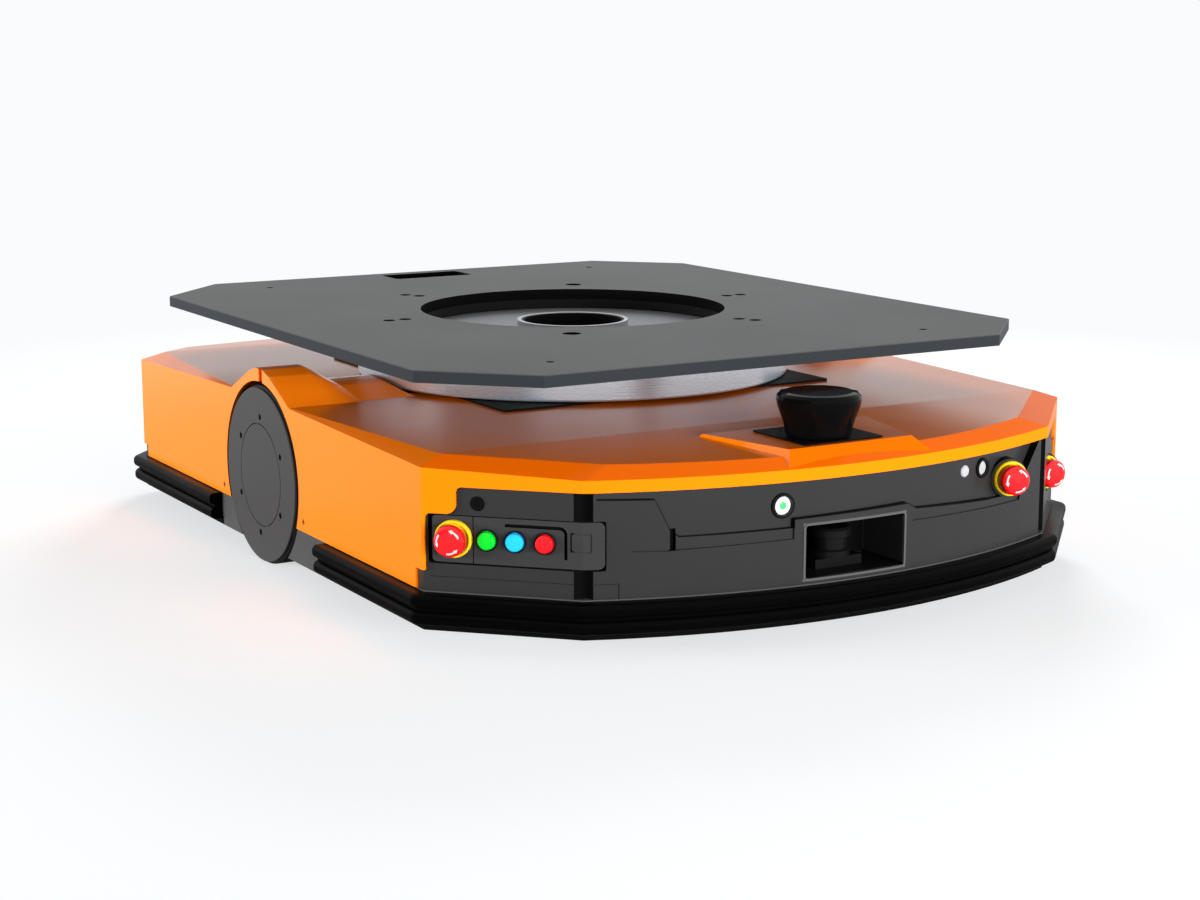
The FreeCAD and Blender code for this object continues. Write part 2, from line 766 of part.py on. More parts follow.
def make_push_buttons():
    bezels = []
    for name, s in button_places:
        place = on_left_facet(s, panel_row_z, panel_inset)
        bezels.append(placed(bezel(bezel_r, 12.2, 0, 3.5), place))
        save("button_" + name, placed(guided_cap(button_r, -4, 9), place))
    bezels.append(placed(bezel(16, 12.3, -1, 3), power_place()))
    bezels.append(placed(bezel(13.5, 10.3, -1, 3), start_place()))
    save("button_bezels", Part.makeCompound(bezels))
    save("power_button", placed(cap(11.7, -9, 0.5), power_place()))
    save("start_button", placed(cap(9.7, -8.5, 0.5), start_place()))
    lens = turned([(0, -2), (8, -2), (8, 1), (6.6, 2.6), (0, 3.2)])
    save("status_lamp", placed(lens, lamp_place()))
    port = turned([(0, -5), (9, -5), (9, 0.6), (8.2, 1.2), (5, 1.2), (4, 0.2), (0, 0.2)])
    save("round_port", placed(port, port_place()))


# ================================================================ scanner and lidar
def make_scanner():
    y = -676.0
    x = (pocket_x0 + pocket_x1) / 2
    foot = pocket_z0
    base = box(x - 36, x + 36, y - 20, y + 28, foot, foot + 12)
    save("scanner_base", base)
    profile = [
        (0, foot + 12), (26, foot + 12), (26, foot + 20), (22, foot + 22), (22, foot + 36), (27, foot + 38),
        (27, foot + 47), (24, foot + 50), (0, foot + 50),
    ]
    head = turned(profile)
    head.translate(V(x, y, 0))
    save("scanner_head", head)


def make_lidar():
    top = lidar_pad_z + lidar_plate_thick
    plate = slab([(lidar_plate_x0, lidar_plate_y0), (lidar_plate_x1, lidar_plate_y0),
                  (lidar_plate_x1, lidar_plate_y1), (lidar_plate_x0, lidar_plate_y1)],
                 [3, 3, 3, 3], lidar_pad_z, top)
    save("lidar_plate", plate)
    profile = [
        (0, top), (lidar_foot_r - 5, top), (lidar_foot_r - 1.4, top + 1.4), (lidar_foot_r, top + 5),
        (lidar_foot_r + 1, top + 12), (lidar_foot_r + 4, top + 22),
        (lidar_top_r - 1.2, lidar_top_z - 17), (lidar_top_r, lidar_top_z - 9), (lidar_top_r - 0.8, lidar_top_z - 4.5),
        (lidar_top_r - 4.5, lidar_top_z - 1.2), (lidar_top_r - 11, lidar_top_z), (0, lidar_top_z),
    ]
    dome = turned(profile)
    dome.translate(V(lidar_x, lidar_y, 0))
    save("lidar_dome", dome)


# ================================================================ bumpers
def bumper_bead(z0, z1, out):
    """One rubber bead: an outward rounded strip that follows the plan outline."""
    bead = plan(out, z0, z1)
    edges = []
    for edge in bead.Edges:
        box_z = edge.BoundBox
        if abs(box_z.ZMax - box_z.ZMin) < 0.01:
            edges.append(edge)
    return bead.makeFillet((z1 - z0) * 0.42, edges)


def bumper_ring():
    upper = bumper_bead(55.0, bumper_top_z, bumper_out)
    lower = bumper_bead(bumper_foot_z, 51.0, bumper_out - 1.5)
    web = plan(bumper_out - 8, bumper_foot_z + 6, bumper_top_z - 6)
    body = upper.fuse(lower).fuse(web)
    return body.cut(plan(bumper_seat - bumper_in, 0, 100))


def make_bumpers():
    whole = bumper_ring()
    save("bumper_front", whole.cut(box(-reach, reach, bumper_front_end_y, reach, 0, reach)).removeSplitter())
    save("bumper_rear", whole.cut(box(-reach, reach, -reach, bumper_rear_end_y, 0, reach)).removeSplitter())


# ================================================================ chassis
def caster_places():
    return (
        ("front_left", -caster_x, caster_front_y),
        ("front_right", caster_x, caster_front_y),
        ("rear_left", -caster_x, caster_rear_y),
        ("rear_right", caster_x, caster_rear_y),
    )


def make_chassis():
    frame = plan_shell(bumper_in, bumper_in + frame_wall, frame_foot_z, shell_foot_z)
    for side in (-1, 1):
        frame = frame.cut(bar(arch_r, side * well_x, side * 530, 0, wheel_z))
    save("chassis_frame", frame.removeSplitter())
    floor = plan(-bumper_in - frame_wall - 0.3, frame_foot_z, floor_z)
    bay_x0 = caster_x - bay_half
    bay_x1 = caster_x + bay_half
    well_y = 126.0
    bands = [
        (bay_x0, bay_x1, -700, caster_front_y - bay_half),
        (bay_x0, bay_x1, caster_front_y + bay_half, caster_rear_y - bay_half),
        (bay_x0, bay_x1, caster_rear_y + bay_half, 700),
        (bay_x1, well_x, -700, 700),
        (well_x, side_x, -700, -well_y),
        (well_x, side_x, well_y, 700),
    ]
    plates = [floor.common(box(-bay_x0, bay_x0, -800, 800, 0, 100))]
    for x0, x1, y0, y1 in bands:
        plate = floor.common(box(x0, x1, y0, y1, 0, 100))
        plates.append(plate)
        plates.append(mirror_x(plate))
    save("chassis_floor", Part.makeCompound(plates))


def make_caster_bays():
    for name, y in (("front", caster_front_y), ("rear", caster_rear_y)):
        bays = []
        for x in (-caster_x, caster_x):
            outer = bay_half + bay_wall
            bay = box(x - outer, x + outer, y - outer, y + outer, floor_z, bay_ceiling_z + bay_plate)
            bay = bay.cut(box(x - bay_half, x + bay_half, y - bay_half, y + bay_half, 0, bay_ceiling_z))
            bays.append(bay.cut(post(kingpin_r + running_fit, 90, 130, x, y)))
        save("caster_bays_" + name, Part.makeCompound(bays))


# ================================================================ casters
def caster_fork(x, y):
    plate = post(30, 101, bay_ceiling_z - 0.4, x, y)
    pin = post(kingpin_r, 101, bay_ceiling_z + bay_plate + 4, x, y)
    axle_y = y + caster_trail
    leg = [(y - 22, 103), (y + 26, 103), (axle_y + 13, caster_r + 4), (axle_y + 9, caster_r - 10),
           (axle_y - 9, caster_r - 10), (axle_y - 13, caster_r + 2)]
    face = Part.Face(rounded_outline(leg, [0, 0, 5, 5, 5, 5]))
    face.rotate(V(0, 0, 0), V(1, 0, 0), 90)
    face.rotate(V(0, 0, 0), UP, 90)
    shapes = [plate, pin]
    inner = caster_width / 2 + 2
    for side in (-1, 1):
        x0 = x + side * inner
        leg_solid = face.copy()
        leg_solid.translate(V(x0, 0, 0))
        shapes.append(leg_solid.extrude(V(side * 5, 0, 0)))
    shapes.append(bar(caster_axle_r, x - inner - 7, x + inner + 7, axle_y, caster_r))
    return fuse_all(shapes)


def caster_wheel(x, y):
    half = caster_width / 2
    bore = caster_axle_r + running_fit
    profile = [
        (bore, -half), (14, -half), (14, -half + 3), (26, -half + 3), (26, -half), (caster_r - 3, -half),
        (caster_r, -half + 4), (caster_r, half - 4), (caster_r - 3, half), (26, half), (26, half - 3),
        (14, half - 3), (14, half), (bore, half),
    ]
    wheel = turned(profile)
    wheel.rotate(V(0, 0, 0), V(0, 1, 0), 90)
    wheel.translate(V(x, y + caster_trail, caster_r))
    return wheel


def make_casters():
    for name, x, y in caster_places():
        save("caster_fork_" + name, caster_fork(x, y))
        save("caster_wheel_" + name, caster_wheel(x, y))


# ================================================================ drive wheels
def right_tyre():
    x1 = wheel_face_x - cover_thick - 0.3
    x0 = x1 - tyre_width
    tyre = bar(wheel_r, x0, x1, 0, wheel_z)
    rims = [edge for edge in tyre.Edges if edge.Closed and edge.BoundBox.XLength < 0.01]
    tyre = tyre.makeFillet(5.0, rims)
    return tyre.cut(bar(tyre_inner_r, x0 - 1, x1 + 1, 0, wheel_z))


def right_hub():
    """Rim, web, central cap that shows through the cover, and the shaft into the gearbox."""
    x1 = wheel_face_x - cover_thick
    x0 = x1 - tyre_width + 2
    web = x1 - 30
    rim_r = tyre_inner_r - 0.3
    profile = [
        (0, shaft_end_x), (axle_r, shaft_end_x), (axle_r, x0), (36, x0), (36, web), (rim_r - 8, web),
        (rim_r - 8, x0), (rim_r, x0), (rim_r, x1), (cap_r, x1), (cap_r, wheel_face_x), (0, wheel_face_x),
    ]
    hub = turned(profile)
    hub.rotate(V(0, 0, 0), V(0, 1, 0), 90)
    hub.translate(V(0, 0, wheel_z))
    for k in range(6):
        hole = bar(12, web - 1, web + 9, 58, wheel_z)
        hole.rotate(V(0, 0, wheel_z), V(1, 0, 0), 60 * k)
        hub = hub.cut(hole)
    return hub


def cover_bolt(radius, x0, x1, index):
    angle = math.radians(cover_bolt_turn + 60 * index)
    y = cover_bolt_circle_r * math.cos(angle)
    z = wheel_z + cover_bolt_circle_r * math.sin(angle)
    return bar(radius, x0, x1, y, z)


def right_cover():
    x1 = wheel_face_x
    x0 = x1 - cover_thick
    cover = bar(cover_r, x0, x1, 0, wheel_z)
    rims = [edge for edge in cover.Edges if edge.Closed and abs(edge.BoundBox.XMax - x1) < 0.01
            and edge.BoundBox.XLength < 0.01]
    cover = cover.makeFillet(1.2, rims)
    cover = cover.cut(bar(cap_r + cap_gap, x0 - 1, x1 + 1, 0, wheel_z))
    for k in range(6):
        cover = cover.cut(cover_bolt(4.6, x0 - 1, x1 + 1, k))
    return cover


def right_cover_screws():
    x1 = wheel_face_x - 2.1
    x0 = wheel_face_x - cover_thick
    screws = []
    for k in range(6):
        screw = cover_bolt(4.3, x0, x1, k).cut(cover_bolt(2.0, x1 - 1, x1 + 1, k))
        screws.append(screw)
    return Part.makeCompound(screws)


def right_drive_unit():
    """Gearbox with its motor and foot, bored for the wheel's shaft."""
    gearbox = bar(58, 350, well_x - 2, 0, wheel_z)
    motor = bar(44, 262, 352, 0, wheel_z)
    foot = box(350, 430, -62, 62, floor_z, floor_z + 10)
    saddle = box(356, 424, -40, 40, floor_z + 8, wheel_z - 30)
    unit = fuse_all([gearbox, motor, foot, saddle])
    return unit.cut(bar(axle_r + axle_fit, shaft_end_x - 2, well_x, 0, wheel_z))


def make_wheels():
    for name, builder in (("tyre", right_tyre), ("wheel_hub", right_hub), ("wheel_cover", right_cover),
                          ("cover_screws", right_cover_screws), ("drive_unit", right_drive_unit)):
        right = builder()
        save(name + "_right", right)
        save(name + "_left", mirror_x(right))


# ================================================================ lift and turntable
def make_lift():
    table = post(table_r, bearing_flange_z + 8, table_top_z)
    flange = post(bearing_flange_r, bearing_flange_z, ring_foot_z - bearing_gap)
    drum = post(drum_r, drum_foot_z, bearing_flange_z + 2).cut(
        post(drum_r - drum_wall, drum_foot_z + drum_foot_thick, bearing_flange_z))
    ram = post(ram_r, ram_foot_z, drum_foot_z + 2)
    drum = fuse_all([table, flange, drum, ram])
    drum = drum.cut(post(boss_hole_r, bearing_flange_z - 2, table_top_z + 1))
    for x in (-post_place, post_place):
        for y in (-post_place, post_place):
            drum = drum.cut(post(post_r + post_fit, drum_foot_z - 1, drum_foot_z + drum_foot_thick + 2, x, y))
    save("lift_table", drum)
    save("camera_boss", ring(boss_r, boss_hole_r, table_top_z, boss_z))
    cup_r = boss_hole_r - 0.3
    cup = post(cup_r, camera_foot_z, boss_z - 1).cut(post(cup_r - 4, camera_foot_z + 6, boss_z))
    save("camera_window", cup)
    posts = []
    for x in (-post_place, post_place):
        for y in (-post_place, post_place):
            posts.append(post(post_r, floor_z, post_top_z, x, y))
    save("lift_posts", Part.makeCompound(posts))
    jack = post(jack_r, floor_z, jack_top_z).cut(post(ram_r + post_fit, floor_z + 6, jack_top_z + 6))
    save("lift_jack", jack)
    cover = slab([(-base_plate_x, -base_plate_y), (base_plate_x, -base_plate_y), (base_plate_x, base_plate_y),
                  (-base_plate_x, base_plate_y)], [2, 2, 2, 2], deck_z, deck_z + base_plate_thick)
    save("base_plate", cover.cut(post(drum_r + 3, deck_z - 20, deck_z + 20)))


def polar(circle, degrees):
    return circle * math.cos(math.radians(degrees)), circle * math.sin(math.radians(degrees))


plate_bolt_angles = (0, 120, 180, 300)
dowel_angles = (60, 240)


def make_load_plate():
    x = plate_width / 2
    y = plate_length / 2
    c = plate_cut
    foot = plate_foot_z
    outline = [(-x, -y + c), (-x + c, -y), (x - c, -y), (x, -y + c), (x, y - c), (x - c, y), (-x + c, y), (-x, y - c)]
    plate = slab(outline, [0] * 8, foot, plate_top_z)
    rim = [edge for edge in plate.Edges if edge.BoundBox.ZMin > plate_top_z - 0.01]
    plate = plate.makeChamfer(1.2, rim)
    plate = plate.cut(post(plate_hole_r, foot - 1, plate_top_z + 1))
    for angle in plate_bolt_angles:
        for circle in (bolt_inner_circle, bolt_outer_circle):
            bx, by = polar(circle, angle)
            plate = plate.cut(post(plate_bolt_hole_r, foot - 1, plate_top_z + 1, bx, by))
    for angle in dowel_angles:
        bx, by = polar(dowel_circle, angle)
        plate = plate.cut(post(plate_dowel_hole_r, foot - 1, plate_top_z + 1, bx, by))
    for hx in (-deck_hole_x, deck_hole_x):
        for hy in (-deck_hole_y, deck_hole_y):
            plate = plate.cut(post(deck_hole_r, foot - 1, plate_top_z + 1, hx, hy))
    slot = slab([(-slot_x, slot_front_y), (slot_x, slot_front_y), (slot_x, slot_rear_y), (-slot_x, slot_rear_y)],
                [6, 6, 6, 6], foot - 1, plate_top_z + 1)
    save("load_plate", plate.cut(slot))


def make_turntable():
    foot = plate_foot_z
    slew = ring(ring_outer_r, ring_inner_r, ring_foot_z, foot)
    screws = []
    for angle in plate_bolt_angles:
        for circle in (bolt_inner_circle, bolt_outer_circle):
            bx, by = polar(circle, angle)
            bolt = post(plate_bolt_hole_r - 0.4, foot, foot + plate_screw_h, bx, by)
            bolt = bolt.cut(post(3, foot + 2, foot + 10, bx, by))
            screws.append(bolt)
    for angle in dowel_angles:
        bx, by = polar(dowel_circle, angle)
        pin = post(plate_dowel_hole_r - 0.4, foot, foot + plate_screw_h, bx, by)
        pin = pin.cut(post(4, foot + 2, foot + 10, bx, by))
        screws.append(pin)
    save("slewing_ring", slew)
    save("plate_screws", Part.makeCompound(screws))
    wall = ring(skirt_r, skirt_r - skirt_wall, skirt_foot_z, foot)
    flange = ring(skirt_r - 4, ring_outer_r + 0.3, foot - 10, foot)
    skirt = fuse_all([wall, flange])
    rims = [edge for edge in skirt.Edges if edge.Closed and edge.BoundBox.ZLength < 0.01
            and abs(edge.BoundBox.XMax - skirt_r) < 0.1 and edge.BoundBox.ZMin < skirt_foot_z + 1]
    skirt = skirt.makeFillet(3.0, rims)
    save("turntable_skirt", skirt)


# ================================================================ power and control boxes
def make_boxes():
    top = battery_top_z
    battery = box(-battery_half, battery_half, battery_front_y, battery_rear_y, floor_z, top)
    lid = box(lid_inset - battery_half, battery_half - lid_inset, battery_front_y + lid_inset,
              battery_rear_y - lid_inset, top, top + lid_thick)
    lid_top = top + lid_thick
    handle = box(-handle_half, handle_half, handle_y, handle_y + handle_depth, lid_top, lid_top + handle_rise)
    inside = handle_half - handle_bar
    handle = handle.cut(box(-inside, inside, handle_y - 2, handle_y + handle_depth + 2, lid_top,
                            lid_top + handle_rise - 6))
    save("battery_pack", fuse_all([battery, lid, handle]))
    top = controller_top_z
    controller = box(-controller_half, controller_half, controller_front_y, controller_rear_y, floor_z, top)
    for k in range(fin_count):
        x = fin_margin_left - controller_half + k * fin_pitch
        controller = controller.fuse(box(x, x + fin_thick, controller_front_y + 5, controller_rear_y - 5,
                                         top, top + fin_rise))
    save("controller_box", controller.removeSplitter())


make_hoods()
make_hood_screws()
make_front_fascia()
make_rear_fascia()
make_control_panel()
make_estops()
make_push_buttons()
make_scanner()
make_lidar()
make_bumpers()
make_chassis()
make_caster_bays()
make_casters()
make_wheels()
make_lift()
make_load_plate()
make_turntable()
make_boxes()
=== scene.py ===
# %% [markdown]
# # A lifting mobile robot, dressed around its engineering model
#
# The robot is a low orange transport vehicle. Two big wheels sit in humps at its sides, a lift
# raises a turntable in its middle, and a thick dark plate on the turntable carries the load.
# The engineering model already has every solid at its true size, so this lesson doesn't move or
# reshape any of them. It gives each one a finish, and adds the one kind of small piece that is
# easier to make here: the printed arrows on the emergency stops.

# %% Load the engineering model
import math

import bmesh
import bpy
from mathutils import Matrix, Vector


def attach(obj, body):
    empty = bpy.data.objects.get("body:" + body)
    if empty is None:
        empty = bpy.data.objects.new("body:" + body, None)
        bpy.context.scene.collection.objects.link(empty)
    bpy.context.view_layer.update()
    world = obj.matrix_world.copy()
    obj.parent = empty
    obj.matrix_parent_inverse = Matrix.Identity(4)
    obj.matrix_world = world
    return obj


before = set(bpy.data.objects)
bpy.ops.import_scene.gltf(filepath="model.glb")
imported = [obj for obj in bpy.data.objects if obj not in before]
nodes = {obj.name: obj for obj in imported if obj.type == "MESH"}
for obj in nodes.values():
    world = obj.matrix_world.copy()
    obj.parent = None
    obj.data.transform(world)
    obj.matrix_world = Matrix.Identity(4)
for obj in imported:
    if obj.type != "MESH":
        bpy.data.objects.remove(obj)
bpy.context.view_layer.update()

# %% [markdown]
# ## Camera
#
# A product picture of a vehicle is usually taken with a long lens from a little above, so that
# parallel edges stay nearly parallel. The camera is placed by its position and two angles, and
# its axes are written into one matrix. That is exact and has no hidden constraint to go wrong.

# %% Camera from a position and two angles
camera_place = Vector((-1.66087, -2.90688, 0.75874))
camera_turn = math.radians(-30.45)
camera_drop = math.radians(10.9)

camera_data = bpy.data.cameras.new("product_camera")
camera_data.sensor_width = 36.0
camera_data.lens = 66.66
camera_data.clip_end = 100.0
camera = bpy.data.objects.new("product_camera", camera_data)
bpy.context.scene.collection.objects.link(camera)

right = Vector((math.cos(camera_turn), math.sin(camera_turn), 0.0))
back = Vector((
    math.sin(camera_turn) * math.cos(camera_drop),
    -math.cos(camera_turn) * math.cos(camera_drop),
    math.sin(camera_drop),
))
up = back.cross(right)
camera.matrix_world = Matrix((
    (right.x, up.x, back.x, camera_place.x),
    (right.y, up.y, back.y, camera_place.y),
    (right.z, up.z, back.z, camera_place.z),
    (0.0, 0.0, 0.0, 1.0),
))
bpy.context.scene.camera = camera
print("camera at", [round(v, 3) for v in camera_place], "lens", camera_data.lens)

# %% [markdown]
# ## Node-tree helpers
#
# Every finish below is a small network of shader nodes. Writing "new node, set values, link" again
# and again hides what the network does, so two helpers do it: one adds a node with its settings,
# the other joins two sockets.

# %% Helpers that add and join nodes
def add_node(tree, kind, values=None, **settings):
    node = tree.nodes.new(kind)
    for key, value in settings.items():
        setattr(node, key, value)
    for key, value in (values or {}).items():
        node.inputs[key].default_value = value
    return node


def join(tree, output, socket):
    tree.links.new(output, socket)


def start_group(name, inputs, outputs):
    """A shader node group: numbers give float inputs, triples give vector inputs."""
    group = bpy.data.node_groups.new(name, "ShaderNodeTree")
    for label, value in inputs.items():
        kind = "NodeSocketFloat" if isinstance(value, float) else "NodeSocketVector"
        socket = group.interface.new_socket(label, in_out="INPUT", socket_type=kind)
        socket.default_value = value
    for label, kind in outputs.items():
        group.interface.new_socket(label, in_out="OUTPUT", socket_type=kind)
    return group, group.nodes.new("NodeGroupInput"), group.nodes.new("NodeGroupOutput")


print("node helpers ready")

# %% [markdown]
# ## Shared effects as node groups
#
# Several finishes need the same ingredients, so each ingredient is one group. The first is
# the orange peel of sprayed paint: sprayed lacquer never dries perfectly flat, and its shallow
# waves, a few millimetres wide, are what makes a painted sheet look painted.

# %% Group: waves and tint of sprayed paint
def make_paint_flow():
    group, given, result = start_group(
        "Paint Flow", {"Wave Scale": 160.0, "Tint Scale": 3.0},
        {"Height": "NodeSocketFloat", "Tint": "NodeSocketFloat"})
    place = add_node(group, "ShaderNodeTexCoord")
    waves = add_node(group, "ShaderNodeTexNoise", {"Detail": 2.0, "Roughness": 0.4})
    tint = add_node(group, "ShaderNodeTexNoise", {"Detail": 3.0})
    join(group, place.outputs["Object"], waves.inputs["Vector"])
    join(group, place.outputs["Object"], tint.inputs["Vector"])
    join(group, given.outputs["Wave Scale"], waves.inputs["Scale"])
    join(group, given.outputs["Tint Scale"], tint.inputs["Scale"])
    join(group, waves.outputs["Fac"], result.inputs["Height"])
    join(group, tint.outputs["Fac"], result.inputs["Tint"])
    return group


paint_flow = make_paint_flow()
print("group:", paint_flow.name)

# %% [markdown]
# Moulded plastic and rubber carry a fine grain from the tool steel. Two noises at different
# scales make it: small pits for the relief and broad patches for how shiny it is.

# %% Group: grain of moulded plastic and rubber
def make_moulded_grain():
    group, given, result = start_group(
        "Moulded Grain", {"Grain Scale": 900.0, "Patch Scale": 9.0},
        {"Height": "NodeSocketFloat", "Patch": "NodeSocketFloat"})
    place = add_node(group, "ShaderNodeTexCoord")
    pits = add_node(group, "ShaderNodeTexVoronoi", feature="SMOOTH_F1")
    patch = add_node(group, "ShaderNodeTexNoise", {"Detail": 4.0, "Roughness": 0.6})
    join(group, place.outputs["Object"], pits.inputs["Vector"])
    join(group, place.outputs["Object"], patch.inputs["Vector"])
    join(group, given.outputs["Grain Scale"], pits.inputs["Scale"])
    join(group, given.outputs["Patch Scale"], patch.inputs["Scale"])
    join(group, pits.outputs["Distance"], result.inputs["Height"])
    join(group, patch.outputs["Fac"], result.inputs["Patch"])
    return group


moulded_grain = make_moulded_grain()
print("group:", moulded_grain.name)

# %% [markdown]
# Dust settles where a surface looks up, and it is thicker near the floor. The group multiplies
# how far the surface faces upwards by how low it lies and by a blotchy noise, and gives a mask
# from 0 to 1 that a material uses to mix in a grey film.

# %% Group: dust that settles low on the robot
def make_settled_dust():
    group, given, result = start_group(
        "Settled Dust", {"Fades At Height": 0.12, "Amount": 0.5}, {"Mask": "NodeSocketFloat"})
    place = add_node(group, "ShaderNodeTexCoord")
    geometry = add_node(group, "ShaderNodeNewGeometry")
    split_place = add_node(group, "ShaderNodeSeparateXYZ")
    split_normal = add_node(group, "ShaderNodeSeparateXYZ")
    join(group, place.outputs["Object"], split_place.inputs[0])
    join(group, geometry.outputs["Normal"], split_normal.inputs[0])
    facing = add_node(group, "ShaderNodeMapRange", {"From Min": -0.4, "From Max": 1.0})
    join(group, split_normal.outputs["Z"], facing.inputs["Value"])
    low = add_node(group, "ShaderNodeMapRange", {"From Min": 0.0, "To Min": 1.0, "To Max": 0.0})
    join(group, split_place.outputs["Z"], low.inputs["Value"])
    join(group, given.outputs["Fades At Height"], low.inputs["From Max"])
    blotch = add_node(group, "ShaderNodeTexNoise", {"Scale": 14.0, "Detail": 6.0, "Roughness": 0.65})
    join(group, place.outputs["Object"], blotch.inputs["Vector"])
    first = add_node(group, "ShaderNodeMath", operation="MULTIPLY")
    join(group, facing.outputs["Result"], first.inputs[0])
    join(group, low.outputs["Result"], first.inputs[1])
    second = add_node(group, "ShaderNodeMath", operation="MULTIPLY")
    join(group, first.outputs[0], second.inputs[0])
    join(group, blotch.outputs["Fac"], second.inputs[1])
    third = add_node(group, "ShaderNodeMath", operation="MULTIPLY", use_clamp=True)
    join(group, second.outputs[0], third.inputs[0])
    join(group, given.outputs["Amount"], third.inputs[1])
    join(group, third.outputs[0], result.inputs["Mask"])
    return group


settled_dust = make_settled_dust()
print("group:", settled_dust.name)

# %% [markdown]
# A part that was turned on a lathe keeps rings from the tool's point. Seen from the axis they are
# circles on a face and hoops on a wall, so the pattern is noise that is stretched around the axis:
# it reads only the distance from the axis and the place along it.

# %% Group: lathe rings about one of the three axes
def make_turned_rings(axis):
    group, given, result = start_group(
        "Turned Rings " + axis, {"Ring Scale": 900.0, "Centre Height": 0.0},
        {"Height": "NodeSocketFloat"})
    place = add_node(group, "ShaderNodeTexCoord")
    lift = add_node(group, "ShaderNodeCombineXYZ")
    join(group, given.outputs["Centre Height"], lift.inputs["Z"])
    centred = add_node(group, "ShaderNodeVectorMath", operation="SUBTRACT")
    join(group, place.outputs["Object"], centred.inputs[0])
    join(group, lift.outputs[0], centred.inputs[1])
    split = add_node(group, "ShaderNodeSeparateXYZ")
    join(group, centred.outputs[0], split.inputs[0])
    across = {"Z": ("X", "Y"), "X": ("Y", "Z")}[axis]
    flat = add_node(group, "ShaderNodeCombineXYZ")
    join(group, split.outputs[across[0]], flat.inputs["X"])
    join(group, split.outputs[across[1]], flat.inputs["Y"])
    radius = add_node(group, "ShaderNodeVectorMath", operation="LENGTH")
    join(group, flat.outputs[0], radius.inputs[0])
    polar = add_node(group, "ShaderNodeCombineXYZ")
    join(group, radius.outputs["Value"], polar.inputs["X"])
    join(group, split.outputs[axis], polar.inputs["Y"])
    rings = add_node(group, "ShaderNodeTexNoise", {"Detail": 3.0, "Roughness": 0.7})
    join(group, polar.outputs[0], rings.inputs["Vector"])
    join(group, given.outputs["Ring Scale"], rings.inputs["Scale"])
    join(group, rings.outputs["Fac"], result.inputs["Height"])
    return group


turned_about_z = make_turned_rings("Z")
turned_about_x = make_turned_rings("X")
print("groups:", turned_about_z.name, "and", turned_about_x.name)

# %% [markdown]
# Some surfaces are one part but get a second colour in places, most of it painted shade: the
# inside of the scanner's window pocket and the walls of the plate's holes and edges are painted dark
# where shade falls. A few small groups find such places from the object's own coordinates. The first
# is 1 inside a box, the second inside an upright post, the third inside a ball.

# %% Groups: masks for a box, a post and a ball
def make_box_mask():
    group, given, result = start_group(
        "Inside Box", {"Low": (0.0, 0.0, 0.0), "High": (1.0, 1.0, 1.0)}, {"Mask": "NodeSocketFloat"})
    place = add_node(group, "ShaderNodeTexCoord")
    above = add_node(group, "ShaderNodeVectorMath", operation="SUBTRACT")
    join(group, place.outputs["Object"], above.inputs[0])
    join(group, given.outputs["Low"], above.inputs[1])
    below = add_node(group, "ShaderNodeVectorMath", operation="SUBTRACT")
    join(group, given.outputs["High"], below.inputs[0])
    join(group, place.outputs["Object"], below.inputs[1])
    nearest = add_node(group, "ShaderNodeVectorMath", operation="MINIMUM")
    join(group, above.outputs[0], nearest.inputs[0])
    join(group, below.outputs[0], nearest.inputs[1])
    split = add_node(group, "ShaderNodeSeparateXYZ")
    join(group, nearest.outputs[0], split.inputs[0])
    flat = add_node(group, "ShaderNodeMath", operation="MINIMUM")
    join(group, split.outputs["X"], flat.inputs[0])
    join(group, split.outputs["Y"], flat.inputs[1])
    least = add_node(group, "ShaderNodeMath", operation="MINIMUM")
    join(group, flat.outputs[0], least.inputs[0])
    join(group, split.outputs["Z"], least.inputs[1])
    inside = add_node(group, "ShaderNodeMath", {1: 0.0}, operation="GREATER_THAN")
    join(group, least.outputs[0], inside.inputs[0])
    join(group, inside.outputs[0], result.inputs["Mask"])
    return group


def make_round_mask(name, flatten):
    group, given, result = start_group(
        name, {"Centre": (0.0, 0.0, 0.0), "Radius": 0.01}, {"Mask": "NodeSocketFloat"})
    place = add_node(group, "ShaderNodeTexCoord")
    offset = add_node(group, "ShaderNodeVectorMath", operation="SUBTRACT")
    join(group, place.outputs["Object"], offset.inputs[0])
    join(group, given.outputs["Centre"], offset.inputs[1])
    kept = add_node(group, "ShaderNodeVectorMath", {1: flatten}, operation="MULTIPLY")
    join(group, offset.outputs[0], kept.inputs[0])
    reach = add_node(group, "ShaderNodeVectorMath", operation="LENGTH")
    join(group, kept.outputs[0], reach.inputs[0])
    inside = add_node(group, "ShaderNodeMath", operation="LESS_THAN")
    join(group, reach.outputs["Value"], inside.inputs[0])
    join(group, given.outputs["Radius"], inside.inputs[1])
    join(group, inside.outputs[0], result.inputs["Mask"])
    return group


inside_box = make_box_mask()
inside_post = make_round_mask("Inside Post", (1.0, 1.0, 0.0))
inside_ball = make_round_mask("Inside Ball", (1.0, 1.0, 1.0))
print("groups:", inside_box.name, inside_post.name, inside_ball.name)

# %% [markdown]
# A groove in a slanted panel is found by its depth: the next group is 1 behind a plane.

# %% Group: mask for what lies behind a plane
def make_plane_mask():
    group, given, result = start_group(
        "Behind Plane", {"Point": (0.0, 0.0, 0.0), "Normal": (0.0, -1.0, 0.0)},
        {"Mask": "NodeSocketFloat"})
    place = add_node(group, "ShaderNodeTexCoord")
    offset = add_node(group, "ShaderNodeVectorMath", operation="SUBTRACT")
    join(group, place.outputs["Object"], offset.inputs[0])
    join(group, given.outputs["Point"], offset.inputs[1])
    height = add_node(group, "ShaderNodeVectorMath", operation="DOT_PRODUCT")
    join(group, offset.outputs[0], height.inputs[0])
    join(group, given.outputs["Normal"], height.inputs[1])
    behind = add_node(group, "ShaderNodeMath", {1: 0.0}, operation="LESS_THAN")
    join(group, height.outputs["Value"], behind.inputs[0])
    join(group, behind.outputs[0], result.inputs["Mask"])
    return group


